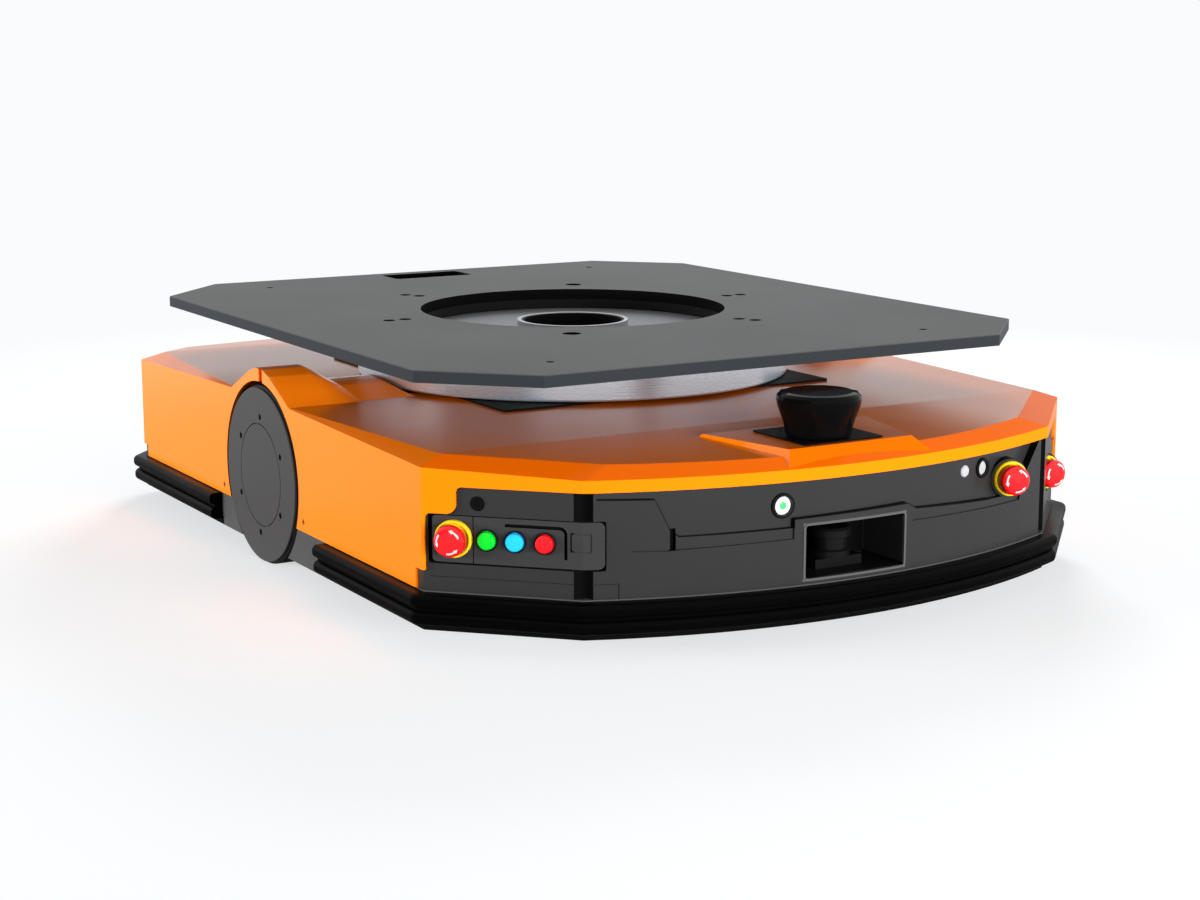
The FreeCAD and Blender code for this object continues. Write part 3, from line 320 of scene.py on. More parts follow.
behind_plane = make_plane_mask()
print("group:", behind_plane.name)

# %% [markdown]
# Next come lines of painted shade. Along the edge of a recess a thin band lies in shade, so this group is 1
# close to the straight line between two points, seen along the robot's length, and the shade is painted there.

# %% Group: mask for a joint line
def make_line_mask():
    group, given, result = start_group(
        "Near Line", {"Start": (0.0, 0.0, 0.0), "End": (0.1, 0.0, 0.0), "Half Width": 0.001},
        {"Mask": "NodeSocketFloat"})

    def vector(operation, first, second=None):
        node = add_node(group, "ShaderNodeVectorMath", operation=operation)
        join(group, first, node.inputs[0])
        if second is not None:
            join(group, second, node.inputs[1])
        return node

    place = add_node(group, "ShaderNodeTexCoord")
    offset = vector("SUBTRACT", place.outputs["Object"], given.outputs["Start"])
    flat = vector("MULTIPLY", offset.outputs[0])
    flat.inputs[1].default_value = (1.0, 0.0, 1.0)
    along = vector("SUBTRACT", given.outputs["End"], given.outputs["Start"])
    travelled = vector("DOT_PRODUCT", flat.outputs[0], along.outputs[0])
    square = vector("DOT_PRODUCT", along.outputs[0], along.outputs[0])
    share = add_node(group, "ShaderNodeMath", operation="DIVIDE", use_clamp=True)
    join(group, travelled.outputs["Value"], share.inputs[0])
    join(group, square.outputs["Value"], share.inputs[1])
    nearest = vector("SCALE", along.outputs[0])
    join(group, share.outputs[0], nearest.inputs["Scale"])
    gap = vector("SUBTRACT", flat.outputs[0], nearest.outputs[0])
    distance = vector("LENGTH", gap.outputs[0])
    near = add_node(group, "ShaderNodeMath", operation="LESS_THAN")
    join(group, distance.outputs["Value"], near.inputs[0])
    join(group, given.outputs["Half Width"], near.inputs[1])
    join(group, near.outputs[0], result.inputs["Mask"])
    return group


near_line = make_line_mask()
print("group:", near_line.name)

# %% [markdown]
# The last group reads which way a surface faces. Its mask is 1 where the normal's part along an axis
# lies between two limits, so it finds upright walls (near 0) or a chamfer (near 0.7).

# %% Group: mask by how far a surface faces along an axis
def make_facing_mask():
    group, given, result = start_group(
        "Facing Between", {"Axis": (0.0, 0.0, 1.0), "From": 0.0, "To": 1.0},
        {"Mask": "NodeSocketFloat"})
    geometry = add_node(group, "ShaderNodeNewGeometry")
    part = add_node(group, "ShaderNodeVectorMath", operation="DOT_PRODUCT")
    join(group, geometry.outputs["True Normal"], part.inputs[0])
    join(group, given.outputs["Axis"], part.inputs[1])
    steep = add_node(group, "ShaderNodeMath", operation="ABSOLUTE")
    join(group, part.outputs["Value"], steep.inputs[0])
    over = add_node(group, "ShaderNodeMath", operation="GREATER_THAN")
    join(group, steep.outputs[0], over.inputs[0])
    join(group, given.outputs["From"], over.inputs[1])
    under = add_node(group, "ShaderNodeMath", operation="LESS_THAN")
    join(group, steep.outputs[0], under.inputs[0])
    join(group, given.outputs["To"], under.inputs[1])
    both = add_node(group, "ShaderNodeMath", operation="MULTIPLY")
    join(group, over.outputs[0], both.inputs[0])
    join(group, under.outputs[0], both.inputs[1])
    join(group, both.outputs[0], result.inputs["Mask"])
    return group


facing_between = make_facing_mask()
print("group:", facing_between.name)

# %% [markdown]
# ## A material maker
#
# All finishes share one layout: a Principled shader whose colour runs between two close tones, whose
# roughness varies a little, and whose relief comes from a Bump node. The function takes the tones
# and the group that gives the relief. Values that are the same all over are set on the shader
# itself.

# %% Function that builds one finish
grey_film = (0.30, 0.29, 0.27, 1.0)


def make_finish(name, tone_a, tone_b, roughness, relief, relief_values, depth,
                vary="Patch", spread=0.06, dust=0.0, dust_height=0.12, **shader_values):
    material = bpy.data.materials.new(name)
    material.use_nodes = True
    tree = material.node_tree
    shader = tree.nodes["Principled BSDF"]
    for key, value in shader_values.items():
        shader.inputs[key.replace("_", " ")].default_value = value
    source = add_node(tree, "ShaderNodeGroup", relief_values, node_tree=relief)
    mask = source.outputs[vary] if vary in source.outputs else source.outputs[0]
    colours = add_node(tree, "ShaderNodeMix", {"A": (*tone_a, 1.0), "B": (*tone_b, 1.0)}, data_type="RGBA")
    join(tree, mask, colours.inputs["Factor"])
    colour = colours.outputs["Result"]
    rough = add_node(tree, "ShaderNodeMapRange", {
        "From Min": 0.3, "From Max": 0.7, "To Min": roughness - spread, "To Max": roughness + spread})
    join(tree, mask, rough.inputs["Value"])
    if dust > 0.0:
        film = add_node(tree, "ShaderNodeGroup", {"Fades At Height": dust_height, "Amount": dust},
                        node_tree=settled_dust)
        dusty = add_node(tree, "ShaderNodeMix", {"B": grey_film}, data_type="RGBA")
        join(tree, film.outputs["Mask"], dusty.inputs["Factor"])
        join(tree, colour, dusty.inputs["A"])
        colour = dusty.outputs["Result"]
    join(tree, colour, shader.inputs["Base Color"])
    join(tree, rough.outputs["Result"], shader.inputs["Roughness"])
    bump = add_node(tree, "ShaderNodeBump", {"Strength": 1.0, "Distance": depth})
    join(tree, source.outputs["Height"], bump.inputs["Height"])
    join(tree, bump.outputs["Normal"], shader.inputs["Normal"])
    return material


def combine(tree, masks, operation):
    """One mask from several: MAXIMUM is any of them, MULTIPLY is all of them."""
    found = None
    for group, values in masks:
        node = add_node(tree, "ShaderNodeGroup", values, node_tree=group)
        if found is None:
            found = node.outputs["Mask"]
            continue
        both = add_node(tree, "ShaderNodeMath", operation=operation)
        join(tree, found, both.inputs[0])
        join(tree, node.outputs["Mask"], both.inputs[1])
        found = both.outputs[0]
    return found


def blend_where(tree, mask, socket, value, data_type="FLOAT"):
    """Replace what feeds a socket with another value, where the mask is 1."""
    mix = add_node(tree, "ShaderNodeMix", {"A": socket.default_value, "B": value}, data_type=data_type)
    if socket.is_linked:
        join(tree, socket.links[0].from_socket, mix.inputs["A"])
    join(tree, mask, mix.inputs["Factor"])
    join(tree, mix.outputs["Result"], socket)


def dim_mirroring(material, masks, shine):
    """Give the places that all the masks find another share of mirrored light."""
    tree = material.node_tree
    found = combine(tree, masks, "MULTIPLY")
    blend_where(tree, found, tree.nodes["Principled BSDF"].inputs["Specular IOR Level"], shine)


def second_tone_or_painted_shade(material, tone, masks, operation="MAXIMUM"):
    """Give the places that the masks find another tone, with hardly any shine if it's dark; most uses paint
    shade this way.
    """
    tree = material.node_tree
    shader = tree.nodes["Principled BSDF"]
    found = combine(tree, masks, operation)
    blend_where(tree, found, shader.inputs["Base Color"], (*tone, 1.0), "RGBA")
    shine = min(0.5, 4.0 * max(tone))
    blend_where(tree, found, shader.inputs["Specular IOR Level"], shine)


print("finish maker ready")

# %% [markdown]
# ## Painted sheet and machined metal
#
# The hoods are sprayed orange over a smooth laminate: saturated and glossy, so they mirror the
# room at a flat angle. The load plate is powder coated in a fine, dull dark grey. The
# turntable's skirt is bare ground steel.

# %% Finishes of the metal parts
orange_paint = make_finish(
    "orange_paint", (0.93, 0.195, 0.003), (0.91, 0.185, 0.002), 0.18, paint_flow,
    {"Wave Scale": 190.0}, 0.00003, vary="Tint", spread=0.02, Specular_IOR_Level=0.42)
plate_coat = make_finish(
    "plate_coat", (0.055, 0.055, 0.0555), (0.060, 0.060, 0.0605), 0.52, moulded_grain,
    {"Grain Scale": 1400.0, "Patch Scale": 4.0}, 0.00003, spread=0.02, Specular_IOR_Level=0.35)
frame_coat = make_finish(
    "frame_coat", (0.048, 0.048, 0.049), (0.058, 0.058, 0.059), 0.50, moulded_grain,
    {"Grain Scale": 1100.0}, 0.00004, dust=0.3, dust_height=0.09, Specular_IOR_Level=0.2)
deck_coat = make_finish(
    "deck_coat", (0.002, 0.002, 0.002), (0.004, 0.004, 0.004), 0.45, moulded_grain,
    {"Grain Scale": 1100.0}, 0.00004, Specular_IOR_Level=0.05)
ground_steel = make_finish(
    "ground_steel", (0.66, 0.74, 0.83), (0.75, 0.84, 0.94), 0.28, turned_about_z,
    {"Ring Scale": 1500.0}, 0.00001, spread=0.03, Metallic=0.86)
bearing_black = make_finish(
    "bearing_black", (0.004, 0.004, 0.004), (0.007, 0.007, 0.007), 0.42, turned_about_z,
    {"Ring Scale": 1500.0}, 0.00002, Specular_IOR_Level=0.15)
lift_alloy = make_finish(
    "lift_alloy", (0.30, 0.30, 0.31), (0.36, 0.36, 0.37), 0.46, turned_about_z,
    {"Ring Scale": 1100.0}, 0.00002, spread=0.04, Metallic=0.4, Specular_IOR_Level=0.3)
boss_alloy = make_finish(
    "boss_alloy", (0.55, 0.55, 0.56), (0.66, 0.66, 0.67), 0.36, turned_about_z,
    {"Ring Scale": 1100.0}, 0.00002, spread=0.05, Metallic=0.7)
wheel_coat = make_finish(
    "wheel_coat", (0.040, 0.040, 0.040), (0.047, 0.047, 0.047), 0.48, moulded_grain,
    {"Grain Scale": 1200.0}, 0.00004, dust=0.2, dust_height=0.08, Specular_IOR_Level=0.15)
screw_black = make_finish(
    "screw_black", (0.006, 0.006, 0.006), (0.010, 0.010, 0.010), 0.38, moulded_grain,
    {"Grain Scale": 2500.0}, 0.00002, Specular_IOR_Level=0.2)
screw_brown = make_finish(
    "screw_brown", (0.22, 0.055, 0.008), (0.26, 0.070, 0.010), 0.36, moulded_grain,
    {"Grain Scale": 2500.0}, 0.00002, Specular_IOR_Level=0.4)
post_steel = make_finish(
    "post_steel", (0.55, 0.56, 0.58), (0.66, 0.67, 0.69), 0.22, turned_about_z,
    {"Ring Scale": 1800.0}, 0.00002, Metallic=1.0)
drive_paint = make_finish(
    "drive_paint", (0.14, 0.15, 0.16), (0.19, 0.20, 0.21), 0.55, moulded_grain,
    {"Grain Scale": 380.0}, 0.00015, dust=0.5)
zinc_plate = make_finish(
    "zinc_plate", (0.50, 0.52, 0.54), (0.64, 0.66, 0.68), 0.32, moulded_grain,
    {"Grain Scale": 1500.0}, 0.00002, Metallic=1.0)
contact_metal = make_finish(
    "contact_metal", (0.70, 0.50, 0.20), (0.80, 0.60, 0.28), 0.24, moulded_grain,
    {"Grain Scale": 1500.0}, 0.00002, Metallic=1.0)
print("metal finishes ready")

# %% [markdown]
# ## Plastic, rubber and glass
#
# The fascia is a satin dark grey moulding. The bumper is black rubber with a dull skin that
# catches dust. The lidar dome is a tinted, polished cover that looks black. The push buttons
# are coloured plastic with a light behind them, so they glow a little.

# %% Finishes of plastic, rubber and glass
fascia_grey = make_finish(
    "fascia_grey", (0.019, 0.019, 0.0195), (0.0215, 0.0215, 0.022), 0.30, moulded_grain,
    {"Grain Scale": 1500.0}, 0.00002, spread=0.03, Specular_IOR_Level=0.30)
panel_grey = make_finish(
    "panel_grey", (0.026, 0.026, 0.0265), (0.029, 0.029, 0.0295), 0.30, moulded_grain,
    {"Grain Scale": 1600.0}, 0.00002, spread=0.03, Specular_IOR_Level=0.30)
trim_black = make_finish(
    "trim_black", (0.003, 0.003, 0.003), (0.005, 0.005, 0.005), 0.34, moulded_grain,
    {"Grain Scale": 1600.0}, 0.00003, Specular_IOR_Level=0.2)
bumper_rubber = make_finish(
    "bumper_rubber", (0.0006, 0.0006, 0.0006), (0.0012, 0.0012, 0.0012), 0.34, moulded_grain,
    {"Grain Scale": 700.0}, 0.00004, Specular_IOR_Level=0.03)
tyre_rubber = make_finish(
    "tyre_rubber", (0.010, 0.010, 0.010), (0.018, 0.018, 0.018), 0.62, moulded_grain,
    {"Grain Scale": 600.0}, 0.00010, dust=0.4, dust_height=0.20, Specular_IOR_Level=0.2)
caster_tread = make_finish(
    "caster_tread", (0.020, 0.020, 0.022), (0.03, 0.03, 0.033), 0.55, moulded_grain,
    {"Grain Scale": 800.0}, 0.00006, dust=0.4, dust_height=0.10, Specular_IOR_Level=0.2)
tinted_glass = make_finish(
    "tinted_glass", (0.0015, 0.0015, 0.0015), (0.0025, 0.0025, 0.0025), 0.08, paint_flow,
    {"Wave Scale": 30.0}, 0.00001, vary="Tint", spread=0.02, Specular_IOR_Level=0.05)
well_black = make_finish(
    "well_black", (0.002, 0.002, 0.002), (0.004, 0.004, 0.004), 0.55, moulded_grain,
    {"Grain Scale": 1600.0}, 0.00003, Specular_IOR_Level=0.08)
box_plastic = make_finish(
    "box_plastic", (0.05, 0.05, 0.052), (0.07, 0.07, 0.073), 0.50, moulded_grain,
    {"Grain Scale": 900.0}, 0.00006, dust=0.3)
collar_yellow = make_finish(
    "collar_yellow", (0.80, 0.55, 0.010), (0.76, 0.50, 0.008), 0.34, moulded_grain,
    {"Grain Scale": 1800.0}, 0.00002)
head_red = make_finish(
    "head_red", (0.78, 0.006, 0.010), (0.70, 0.005, 0.008), 0.28, moulded_grain,
    {"Grain Scale": 1800.0}, 0.00002, Coat_Weight=0.2)
arrow_white = make_finish(
    "arrow_white", (0.80, 0.52, 0.50), (0.84, 0.58, 0.56), 0.45, moulded_grain,
    {"Grain Scale": 2000.0}, 0.00001)


def make_lit_cap(name, colour, glow):
    deep = tuple(0.75 * c for c in colour)
    material = make_finish(name, colour, deep, 0.28, moulded_grain, {"Grain Scale": 1600.0}, 0.00002)
    shader = material.node_tree.nodes["Principled BSDF"]
    shader.inputs["Emission Color"].default_value = (*colour, 1.0)
    shader.inputs["Emission Strength"].default_value = glow
    return material


cap_green = make_lit_cap("cap_green", (0.0, 0.62, 0.02), 0.30)
cap_blue = make_lit_cap("cap_blue", (0.01, 0.42, 0.95), 0.30)
cap_red = make_lit_cap("cap_red", (0.85, 0.005, 0.01), 0.25)
cap_white = make_lit_cap("cap_white", (0.62, 0.66, 0.64), 0.15)
cap_silver = make_lit_cap("cap_silver", (0.40, 0.41, 0.42), 0.0)

print("plastic, rubber and glass finishes ready")

# %% [markdown]
# ## Painted shade and second tones on one part
#
# Now the masks are used, mostly to paint shade. The walls of the plate's edge are painted darker than
# its top and the walls of its holes near black, as painted shade, and the chassis rail under the bumpers
# is painted near black as their shadow. The orange hood mirrors less where it faces the front, and its
# bevel behind the front lip is painted a deeper orange as painted shade.

# %% Painted shade on the metal parts
# Near black used as painted shade in holes, gaps, grooves and under the bumpers.
painted_shade_black = (0.003, 0.003, 0.003)
upright = (facing_between, {"From": -0.1, "To": 0.5})
inner_holes = (inside_box, {"Low": (-0.35, -0.545, 0.0), "High": (0.35, 0.545, 1.0)})
# Painted shade: the plate's upright walls are painted darker than its top, and the walls of its central holes
# near black.
second_tone_or_painted_shade(plate_coat, (0.022, 0.025, 0.029), [upright])
second_tone_or_painted_shade(plate_coat, painted_shade_black, [upright, inner_holes], "MULTIPLY")

# Painted shadow: the chassis rail under the front and rear bumpers is painted near black, as the bumpers'
# shadow.
under_bumper_front = (inside_box, {"Low": (-1.0, -1.0, 0.0), "High": (1.0, -0.215, 0.036)})
under_bumper_rear = (inside_box, {"Low": (-1.0, 0.160, 0.0), "High": (1.0, 1.0, 0.036)})
second_tone_or_painted_shade(frame_coat, painted_shade_black, [under_bumper_front, under_bumper_rear])

facing_front = (facing_between, {"Axis": (0.0, -1.0, 0.0), "From": 0.25, "To": 1.1})
leaning_back = (facing_between, {"From": 0.5, "To": 0.97})
front_half = (inside_box, {"Low": (-1.0, -1.0, 0.0), "High": (1.0, -0.40, 1.0)})
# Painted shade: the hood's front-facing bevel that leans back is painted a deeper orange than the rest of the
# hood.
second_tone_or_painted_shade(orange_paint, (0.80, 0.125, 0.0), [facing_front, leaning_back, front_half], "MULTIPLY")
dim_mirroring(orange_paint, [facing_front, front_half], 0.02)
print("second tones of the metal parts set")

# %% [markdown]
# The fascia needs the most of them, and most of it is painted shade: dark lines of painted shade along
# the edge of its recess, painted shade on its steps and in its slots and corner channels, the lighter
# rim of the scanner's window with painted shade in the pocket behind it, and painted shade in the gap
# around the control panel. The panel's own grooves are found by their depth behind its face and are
# painted dark as painted shade. The power button has a green lens in its middle.

# %% Painted shade on the fascia and the panel, the window rim and the power button's lens
steps = (facing_between, {"From": 0.15, "To": 1.1})
recess_corners = [(-0.347, 0.197), (-0.280, 0.195), (-0.262, 0.157), (-0.249, 0.147), (-0.102, 0.147),
                  (-0.102, 0.158), (0.072, 0.160), (0.088, 0.151), (0.232, 0.142)]
recess_shade_lines = []
for (x0, z0), (x1, z1) in zip(recess_corners, recess_corners[1:]):
    recess_shade_lines.append((near_line, {"Start": (x0, 0.0, z0), "End": (x1, 0.0, z1), "Half Width": 0.0010}))
# Painted shade: the fascia's steps and thin lines along its recess edge are painted near black.
second_tone_or_painted_shade(fascia_grey, (0.006, 0.006, 0.006), [steps, *recess_shade_lines])

window_rim = (inside_box, {"Low": (-0.0892, -0.745, 0.0773), "High": (0.0692, -0.728, 0.1512)})
second_tone_or_painted_shade(fascia_grey, (0.070, 0.070, 0.070), [window_rim])

# Painted shade: the scanner's window pocket, the corner channels, the ledge slot and the gap around the control
# panel are painted near black.
scanner_room = (inside_box, {"Low": (-0.0855, -0.7345, 0.081), "High": (0.0655, -0.600, 0.1475)})
corner_channels = [(inside_post, {"Centre": (side * 0.364, -0.661, 0.0), "Radius": 0.0132}) for side in (-1, 1)]
ledge_slot = (inside_box, {"Low": (-0.2625, -0.7165, 0.1305), "High": (-0.2535, -0.600, 0.1575)})
panel_gap_shade = (inside_box, {"Low": (-0.5005, -0.720, 0.1092), "High": (-0.3365, -0.500, 0.1704)})
second_tone_or_painted_shade(fascia_grey, painted_shade_black, [scanner_room, *corner_channels, ledge_slot, panel_gap_shade])

# Painted shade: the control panel's grooves, behind its slanted face, are painted near black.
facet_corner = Vector((-0.509, -0.517, 0.0))
facet_normal = Vector((-0.70466, -0.70955, 0.0))
groove_floor = 0.0019
groove_plane = (behind_plane, {"Point": facet_corner - groove_floor * facet_normal, "Normal": facet_normal})
flat_part = (inside_box, {"Low": (-0.60, -0.70, 0.10), "High": (-0.371, -0.45, 0.18)})
second_tone_or_painted_shade(panel_grey, painted_shade_black, [groove_plane, flat_part], "MULTIPLY")

power_lens = (inside_ball, {"Centre": (-0.1145, -0.7205, 0.175), "Radius": 0.0048})
second_tone_or_painted_shade(cap_white, (0.02, 0.40, 0.10), [power_lens])
print("second tones of the fascia, the panel and the button set")

# %% [markdown]
# ## Dressing the solids
#
# Each solid arrives with a plain colour. One table says which finish belongs to which solids, by
# the first letters of their names, and every slot of every mesh is filled from it. A solid that
# no rule names would be an oversight, so the cell stops there.

# %% Give every solid its finish
finish_of = {
    "hood_screws": screw_brown,
    "hood": orange_paint,
    "fascia": fascia_grey,
    "control_panel": panel_grey,
    "button_bezels": trim_black,
    "button_green": cap_green,
    "button_blue": cap_blue,
    "button_red": cap_red,
    "power_button": cap_white,
    "start_button": cap_silver,
    "status_lamp": cap_silver,
    "round_port": well_black,
    "estop_collars": collar_yellow,
    "estop_head": head_red,
    "scanner": trim_black,
    "lidar_plate": deck_coat,
    "lidar_dome": tinted_glass,
    "bumper": bumper_rubber,
    "chassis": frame_coat,
    "caster_bays": frame_coat,
    "caster_fork": zinc_plate,
    "caster_wheel": caster_tread,
    "tyre": tyre_rubber,
    "wheel": wheel_coat,
    "cover_screws": screw_black,
    "plate_screws": screw_black,
    "drive_unit": drive_paint,
    "lift_table": lift_alloy,
    "lift_posts": post_steel,
    "lift_jack": post_steel,
    "camera_boss": boss_alloy,
    "camera_window": well_black,
    "base_plate": deck_coat,
    "load_plate": plate_coat,
    "slewing_ring": bearing_black,
    "turntable_skirt": ground_steel,
    "battery": box_plastic,
    "controller": box_plastic,
    "charge_block": trim_black,
    "charge_contacts": contact_metal,
}


def finish_for(node_name):
    fitting = [key for key in finish_of if node_name.startswith(key)]
    if not fitting:
        raise ValueError("no finish for " + node_name)
    return finish_of[max(fitting, key=len)]


for node_name, solid in nodes.items():
    finish = finish_for(node_name)
    solid.data.materials.clear()
    solid.data.materials.append(finish)
print("dressed", len(nodes), "solids with", len(set(finish_of.values())), "finishes")

# %% [markdown]
# ## Twist arrows on the emergency stops
#
# A pressed emergency stop is released by a twist, and three curved arrows on its head say so. They
# are pad printed in a shallow groove. One arrow is drawn as a flat outline in polar coordinates,
# laid on the cone of the head and given a little thickness. A Geometry Nodes group then repeats it
# around the axis: the number of arrows is an input, so the same group serves any head.

# %% One arrow as a thin closed solid
crown_edge_r = 0.0165
crown_edge_height = 0.024
arrow_middle_r = 0.01435
arrow_sunk = -0.0006
arrow_raised = 0.00015


def head_height(radius):
    """Height of the head's crown above its seat, in metres."""
    if radius > crown_edge_r:
        return crown_edge_height - (radius - crown_edge_r) * 1.11
    return crown_edge_height + (crown_edge_r - radius) / 3.0


def make_arrow_mesh():
    """The arrow's shaft and point, as half widths at angles in degrees around the head."""
    shaft = [(22.0 + 4.0 * k, 0.0010) for k in range(12)]
    point = [(66.0, 0.0026), (72.0, 0.0018), (78.0, 0.0011), (86.0, 0.0001)]
    mesh = bmesh.new()
    rows = []
    for turn, half_width in shaft + point:
        angle = math.radians(turn)
        row = []
        for radius in (arrow_middle_r - half_width, arrow_middle_r + half_width):
            for lift in (arrow_sunk, arrow_raised):
                place = (radius * math.cos(angle), radius * math.sin(angle), head_height(radius) + lift)
                row.append(mesh.verts.new(place))
        rows.append(row)
    for a, b in zip(rows, rows[1:]):
        mesh.faces.new((a[1], a[3], b[3], b[1]))
        mesh.faces.new((a[0], b[0], b[2], a[2]))
        mesh.faces.new((a[0], a[1], b[1], b[0]))
        mesh.faces.new((a[2], b[2], b[3], a[3]))
    mesh.faces.new((rows[0][0], rows[0][2], rows[0][3], rows[0][1]))
    mesh.faces.new((rows[-1][0], rows[-1][1], rows[-1][3], rows[-1][2]))
    bmesh.ops.recalc_face_normals(mesh, faces=mesh.faces)
    data = bpy.data.meshes.new("twist_arrow")
    mesh.to_mesh(data)
    mesh.free()
    return data


arrow_mesh = make_arrow_mesh()
print("arrow corners:", len(arrow_mesh.vertices))

# %% Geometry Nodes group that repeats a piece around its Z axis
def make_repeat_around():
    group = bpy.data.node_groups.new("Repeat Around Axis", "GeometryNodeTree")
    group.interface.new_socket("Geometry", in_out="INPUT", socket_type="NodeSocketGeometry")
    count = group.interface.new_socket("Count", in_out="INPUT", socket_type="NodeSocketInt")
    count.default_value = 3
    finish = group.interface.new_socket("Finish", in_out="INPUT", socket_type="NodeSocketMaterial")
    group.interface.new_socket("Geometry", in_out="OUTPUT", socket_type="NodeSocketGeometry")
    given = group.nodes.new("NodeGroupInput")
    result = group.nodes.new("NodeGroupOutput")
    seats = add_node(group, "GeometryNodeMeshLine", {"Offset": (0.0, 0.0, 0.0)}, mode="OFFSET")
    join(group, given.outputs["Count"], seats.inputs["Count"])
    index = group.nodes.new("GeometryNodeInputIndex")
    step = add_node(group, "ShaderNodeMath", {0: math.tau}, operation="DIVIDE")
    join(group, given.outputs["Count"], step.inputs[1])
    turn = add_node(group, "ShaderNodeMath", operation="MULTIPLY")
    join(group, index.outputs[0], turn.inputs[0])
    join(group, step.outputs[0], turn.inputs[1])
    rotation = group.nodes.new("ShaderNodeCombineXYZ")
    join(group, turn.outputs[0], rotation.inputs["Z"])
    copies = group.nodes.new("GeometryNodeInstanceOnPoints")
    join(group, seats.outputs["Mesh"], copies.inputs["Points"])
    join(group, given.outputs["Geometry"], copies.inputs["Instance"])
    join(group, rotation.outputs[0], copies.inputs["Rotation"])
    real = group.nodes.new("GeometryNodeRealizeInstances")
    join(group, copies.outputs["Instances"], real.inputs["Geometry"])
    dressed = group.nodes.new("GeometryNodeSetMaterial")
    join(group, real.outputs["Geometry"], dressed.inputs["Geometry"])
    join(group, given.outputs["Finish"], dressed.inputs["Material"])
    join(group, dressed.outputs["Geometry"], result.inputs["Geometry"])
    return group, count.identifier, finish.identifier


repeat_around, count_key, finish_key = make_repeat_around()
print("group:", repeat_around.name, "inputs:", count_key, finish_key)

# %% [markdown]
# The modifier is only a tool here. Its result is turned into a plain mesh, and that mesh is moved
# into the seat of each head: right, up and outwards are the three axes of a seat. The arrows then
# ride on the head's own body, so they go in with it.

# %% Seat the arrows on the three heads
def seat_matrix(origin, seat_right):
    across = Vector(seat_right).normalized()
    upwards = Vector((0.0, 0.0, 1.0))
    outwards = across.cross(upwards)
    return Matrix((
        (across.x, upwards.x, outwards.x, origin[0]),
        (across.y, upwards.y, outwards.y, origin[1]),
        (across.z, upwards.z, outwards.z, origin[2]),
        (0.0, 0.0, 0.0, 1.0),
    ))


facet_start = Vector((-0.509, -0.517, 0.142))
facet_run = Vector((0.145, -0.144, 0.0)).normalized()
facet_out = facet_run.cross(Vector((0.0, 0.0, 1.0)))
left_along = 0.0415
panel_inset = 0.001
front_turn = math.radians(15.0)
seats = {
    "estop_head_left": seat_matrix(facet_start + facet_run * left_along - facet_out * panel_inset, facet_run),
    "estop_head_front": seat_matrix((0.267, -0.697, 0.166), (math.cos(front_turn), -math.sin(front_turn), 0.0)),
    "estop_head_right": seat_matrix((0.424, -0.590, 0.140), (1.0, 0.0, 0.0)),
}


arrow_count = 3


def make_arrow_ring(name):
    ring = bpy.data.objects.new(name, arrow_mesh)
    bpy.context.scene.collection.objects.link(ring)
    modifier = ring.modifiers.new("repeat", "NODES")
    modifier.node_group = repeat_around
    modifier[count_key] = arrow_count
    modifier[finish_key] = arrow_white
    evaluated = ring.evaluated_get(bpy.context.evaluated_depsgraph_get())
    solid = bpy.data.meshes.new_from_object(evaluated)
    ring.modifiers.clear()
    ring.data = solid
    return ring


for body, seat in seats.items():
    ring = make_arrow_ring("arrows_" + body.rsplit("_", 1)[1])
    ring.data.transform(seat)
    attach(ring, body)
print("arrow rings:", len(seats))

# %% [markdown]
# ## Studio
#
# The robot stands on a pale floor in a bright room. The lamps stand low, in front and to the left,
# so the upright faces are bright and the flat tops are calmer. The floor glows a little for the
# camera and fades out into the background, so there is no horizon; it still takes the robot's
# shadow. A black board on the left, which only mirrors see, puts dark bands into the steel and the
# dome, as a studio does to give round metal its shape.

# %% The floor that takes the shadow
room_white = (0.947, 0.965, 0.973, 1.0)
floor_grey = (0.52, 0.53, 0.54, 1.0)
floor_glow = 0.63
floor_fades_from = 1.2
floor_fades_to = 2.6
floor_half = 3.0


def add_seen_mask(tree):
    """1 for rays from the camera, a mirror or a glass, 0 for the soft light in the room."""
    path = add_node(tree, "ShaderNodeLightPath")
    first = add_node(tree, "ShaderNodeMath", operation="MAXIMUM")
    seen = add_node(tree, "ShaderNodeMath", operation="MAXIMUM")
    join(tree, path.outputs["Is Camera Ray"], first.inputs[0])
    join(tree, path.outputs["Is Glossy Ray"], first.inputs[1])
    join(tree, first.outputs[0], seen.inputs[0])
    join(tree, path.outputs["Is Transmission Ray"], seen.inputs[1])
    return seen.outputs[0]


def make_board(name, corners, material):
    mesh = bpy.data.meshes.new(name)
    mesh.from_pydata(corners, [], [(0, 1, 2, 3)])
    mesh.materials.append(material)
    board = bpy.data.objects.new(name, mesh)
    bpy.context.scene.collection.objects.link(board)
    return board


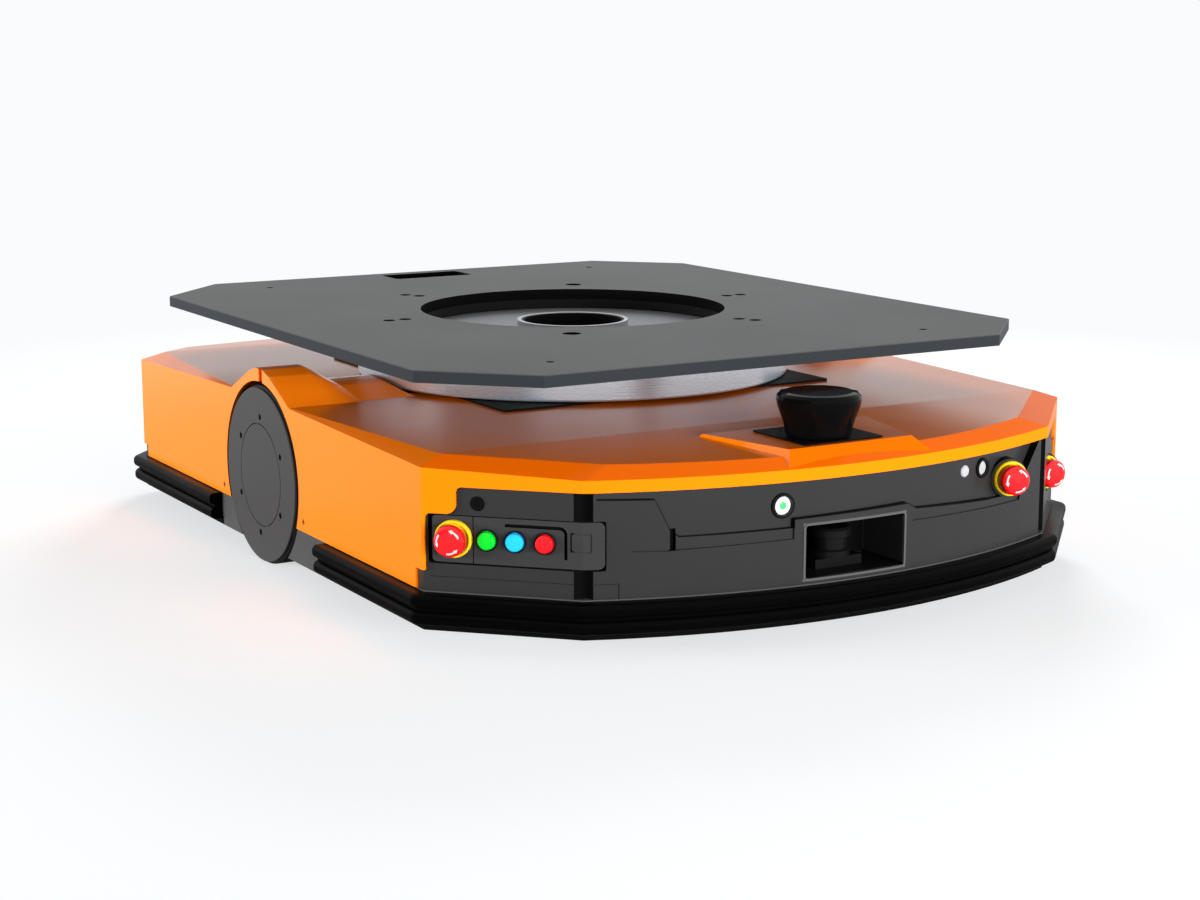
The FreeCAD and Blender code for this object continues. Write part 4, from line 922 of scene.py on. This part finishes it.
def make_floor_finish():
    material = bpy.data.materials.new("studio_floor")
    material.use_nodes = True
    tree = material.node_tree
    tree.nodes.clear()
    place = add_node(tree, "ShaderNodeTexCoord")
    reach = add_node(tree, "ShaderNodeVectorMath", operation="LENGTH")
    join(tree, place.outputs["Object"], reach.inputs[0])
    near = add_node(tree, "ShaderNodeMapRange", {
        "From Min": floor_fades_from, "From Max": floor_fades_to, "To Min": 1.0, "To Max": 0.0},
        interpolation_type="SMOOTHSTEP")
    join(tree, reach.outputs["Value"], near.inputs["Value"])
    matt = add_node(tree, "ShaderNodeBsdfDiffuse", {"Color": floor_grey})
    glow = add_node(tree, "ShaderNodeEmission", {"Color": room_white})
    path = add_node(tree, "ShaderNodeLightPath")
    strength = add_node(tree, "ShaderNodeMath", {1: floor_glow}, operation="MULTIPLY")
    join(tree, path.outputs["Is Camera Ray"], strength.inputs[0])
    join(tree, strength.outputs[0], glow.inputs["Strength"])
    both = add_node(tree, "ShaderNodeAddShader")
    join(tree, matt.outputs[0], both.inputs[0])
    join(tree, glow.outputs[0], both.inputs[1])
    clear = add_node(tree, "ShaderNodeBsdfTransparent")
    choice = add_node(tree, "ShaderNodeMixShader")
    output = add_node(tree, "ShaderNodeOutputMaterial")
    join(tree, near.outputs["Result"], choice.inputs[0])
    join(tree, clear.outputs[0], choice.inputs[1])
    join(tree, both.outputs[0], choice.inputs[2])
    join(tree, choice.outputs[0], output.inputs["Surface"])
    return material


side = floor_half
make_board("studio_floor", [(-side, -side, 0), (side, -side, 0), (side, side, 0), (-side, side, 0)],
           make_floor_finish())
print("floor ready")

# %% [markdown]
# The lamps light the robot, but no mirror sees them: their hot spots would hide the paint. The
# paint and the steel mirror only the bright room, the floor and the black board.

# %% The world, the black board and the lamps
fill_strength = 0.16
aim = (0.0, 0.0, 0.15)


def make_world():
    world = bpy.data.worlds.new("studio_world")
    bpy.context.scene.world = world
    world.use_nodes = True
    tree = world.node_tree
    tree.nodes.clear()
    fill = add_node(tree, "ShaderNodeBackground", {"Color": (0.95, 0.97, 1.0, 1.0), "Strength": fill_strength})
    shown = add_node(tree, "ShaderNodeBackground", {"Color": room_white, "Strength": 1.0})
    choice = add_node(tree, "ShaderNodeMixShader")
    output = add_node(tree, "ShaderNodeOutputWorld")
    join(tree, add_seen_mask(tree), choice.inputs[0])
    join(tree, fill.outputs[0], choice.inputs[1])
    join(tree, shown.outputs[0], choice.inputs[2])
    join(tree, choice.outputs[0], output.inputs["Surface"])


def make_flag():
    material = bpy.data.materials.new("studio_flag")
    material.use_nodes = True
    shader = material.node_tree.nodes["Principled BSDF"]
    shader.inputs["Base Color"].default_value = (0.0, 0.0, 0.0, 1.0)
    shader.inputs["Specular IOR Level"].default_value = 0.0
    flag = make_board("studio_flag", [(-3.0, -2.6, 0.0), (-4.2, 0.8, 0.0), (-4.2, 0.8, 1.6), (-3.0, -2.6, 1.6)],
                      material)
    flag.visible_camera = False
    flag.visible_diffuse = False
    flag.visible_shadow = False


def add_softbox(name, place, target, width, height, power):
    light = bpy.data.lights.new(name, "AREA")
    light.shape = "RECTANGLE"
    light.size = width
    light.size_y = height
    light.energy = power
    lamp = bpy.data.objects.new(name, light)
    lamp.location = place
    direction = Vector(target) - Vector(place)
    lamp.rotation_euler = direction.to_track_quat("-Z", "Y").to_euler()
    lamp.visible_glossy = False
    bpy.context.scene.collection.objects.link(lamp)


make_world()
make_flag()
add_softbox("key_front", (0.4, -5.0, 0.50), aim, 3.4, 0.8, 430.0)
add_softbox("key_left", (-5.2, 1.5, 0.50), aim, 2.6, 0.8, 440.0)
add_softbox("edge_right", (2.2, -2.7, 0.7), (0.15, -0.6, 0.15), 0.5, 0.9, 14.0)
add_softbox("back_right", (2.4, 3.0, 2.2), (0.0, 0.0, 0.25), 1.6, 1.2, 130.0)
bpy.context.scene.view_settings.view_transform = "Standard"
print("studio ready")

# %% Finish
print("scene built")
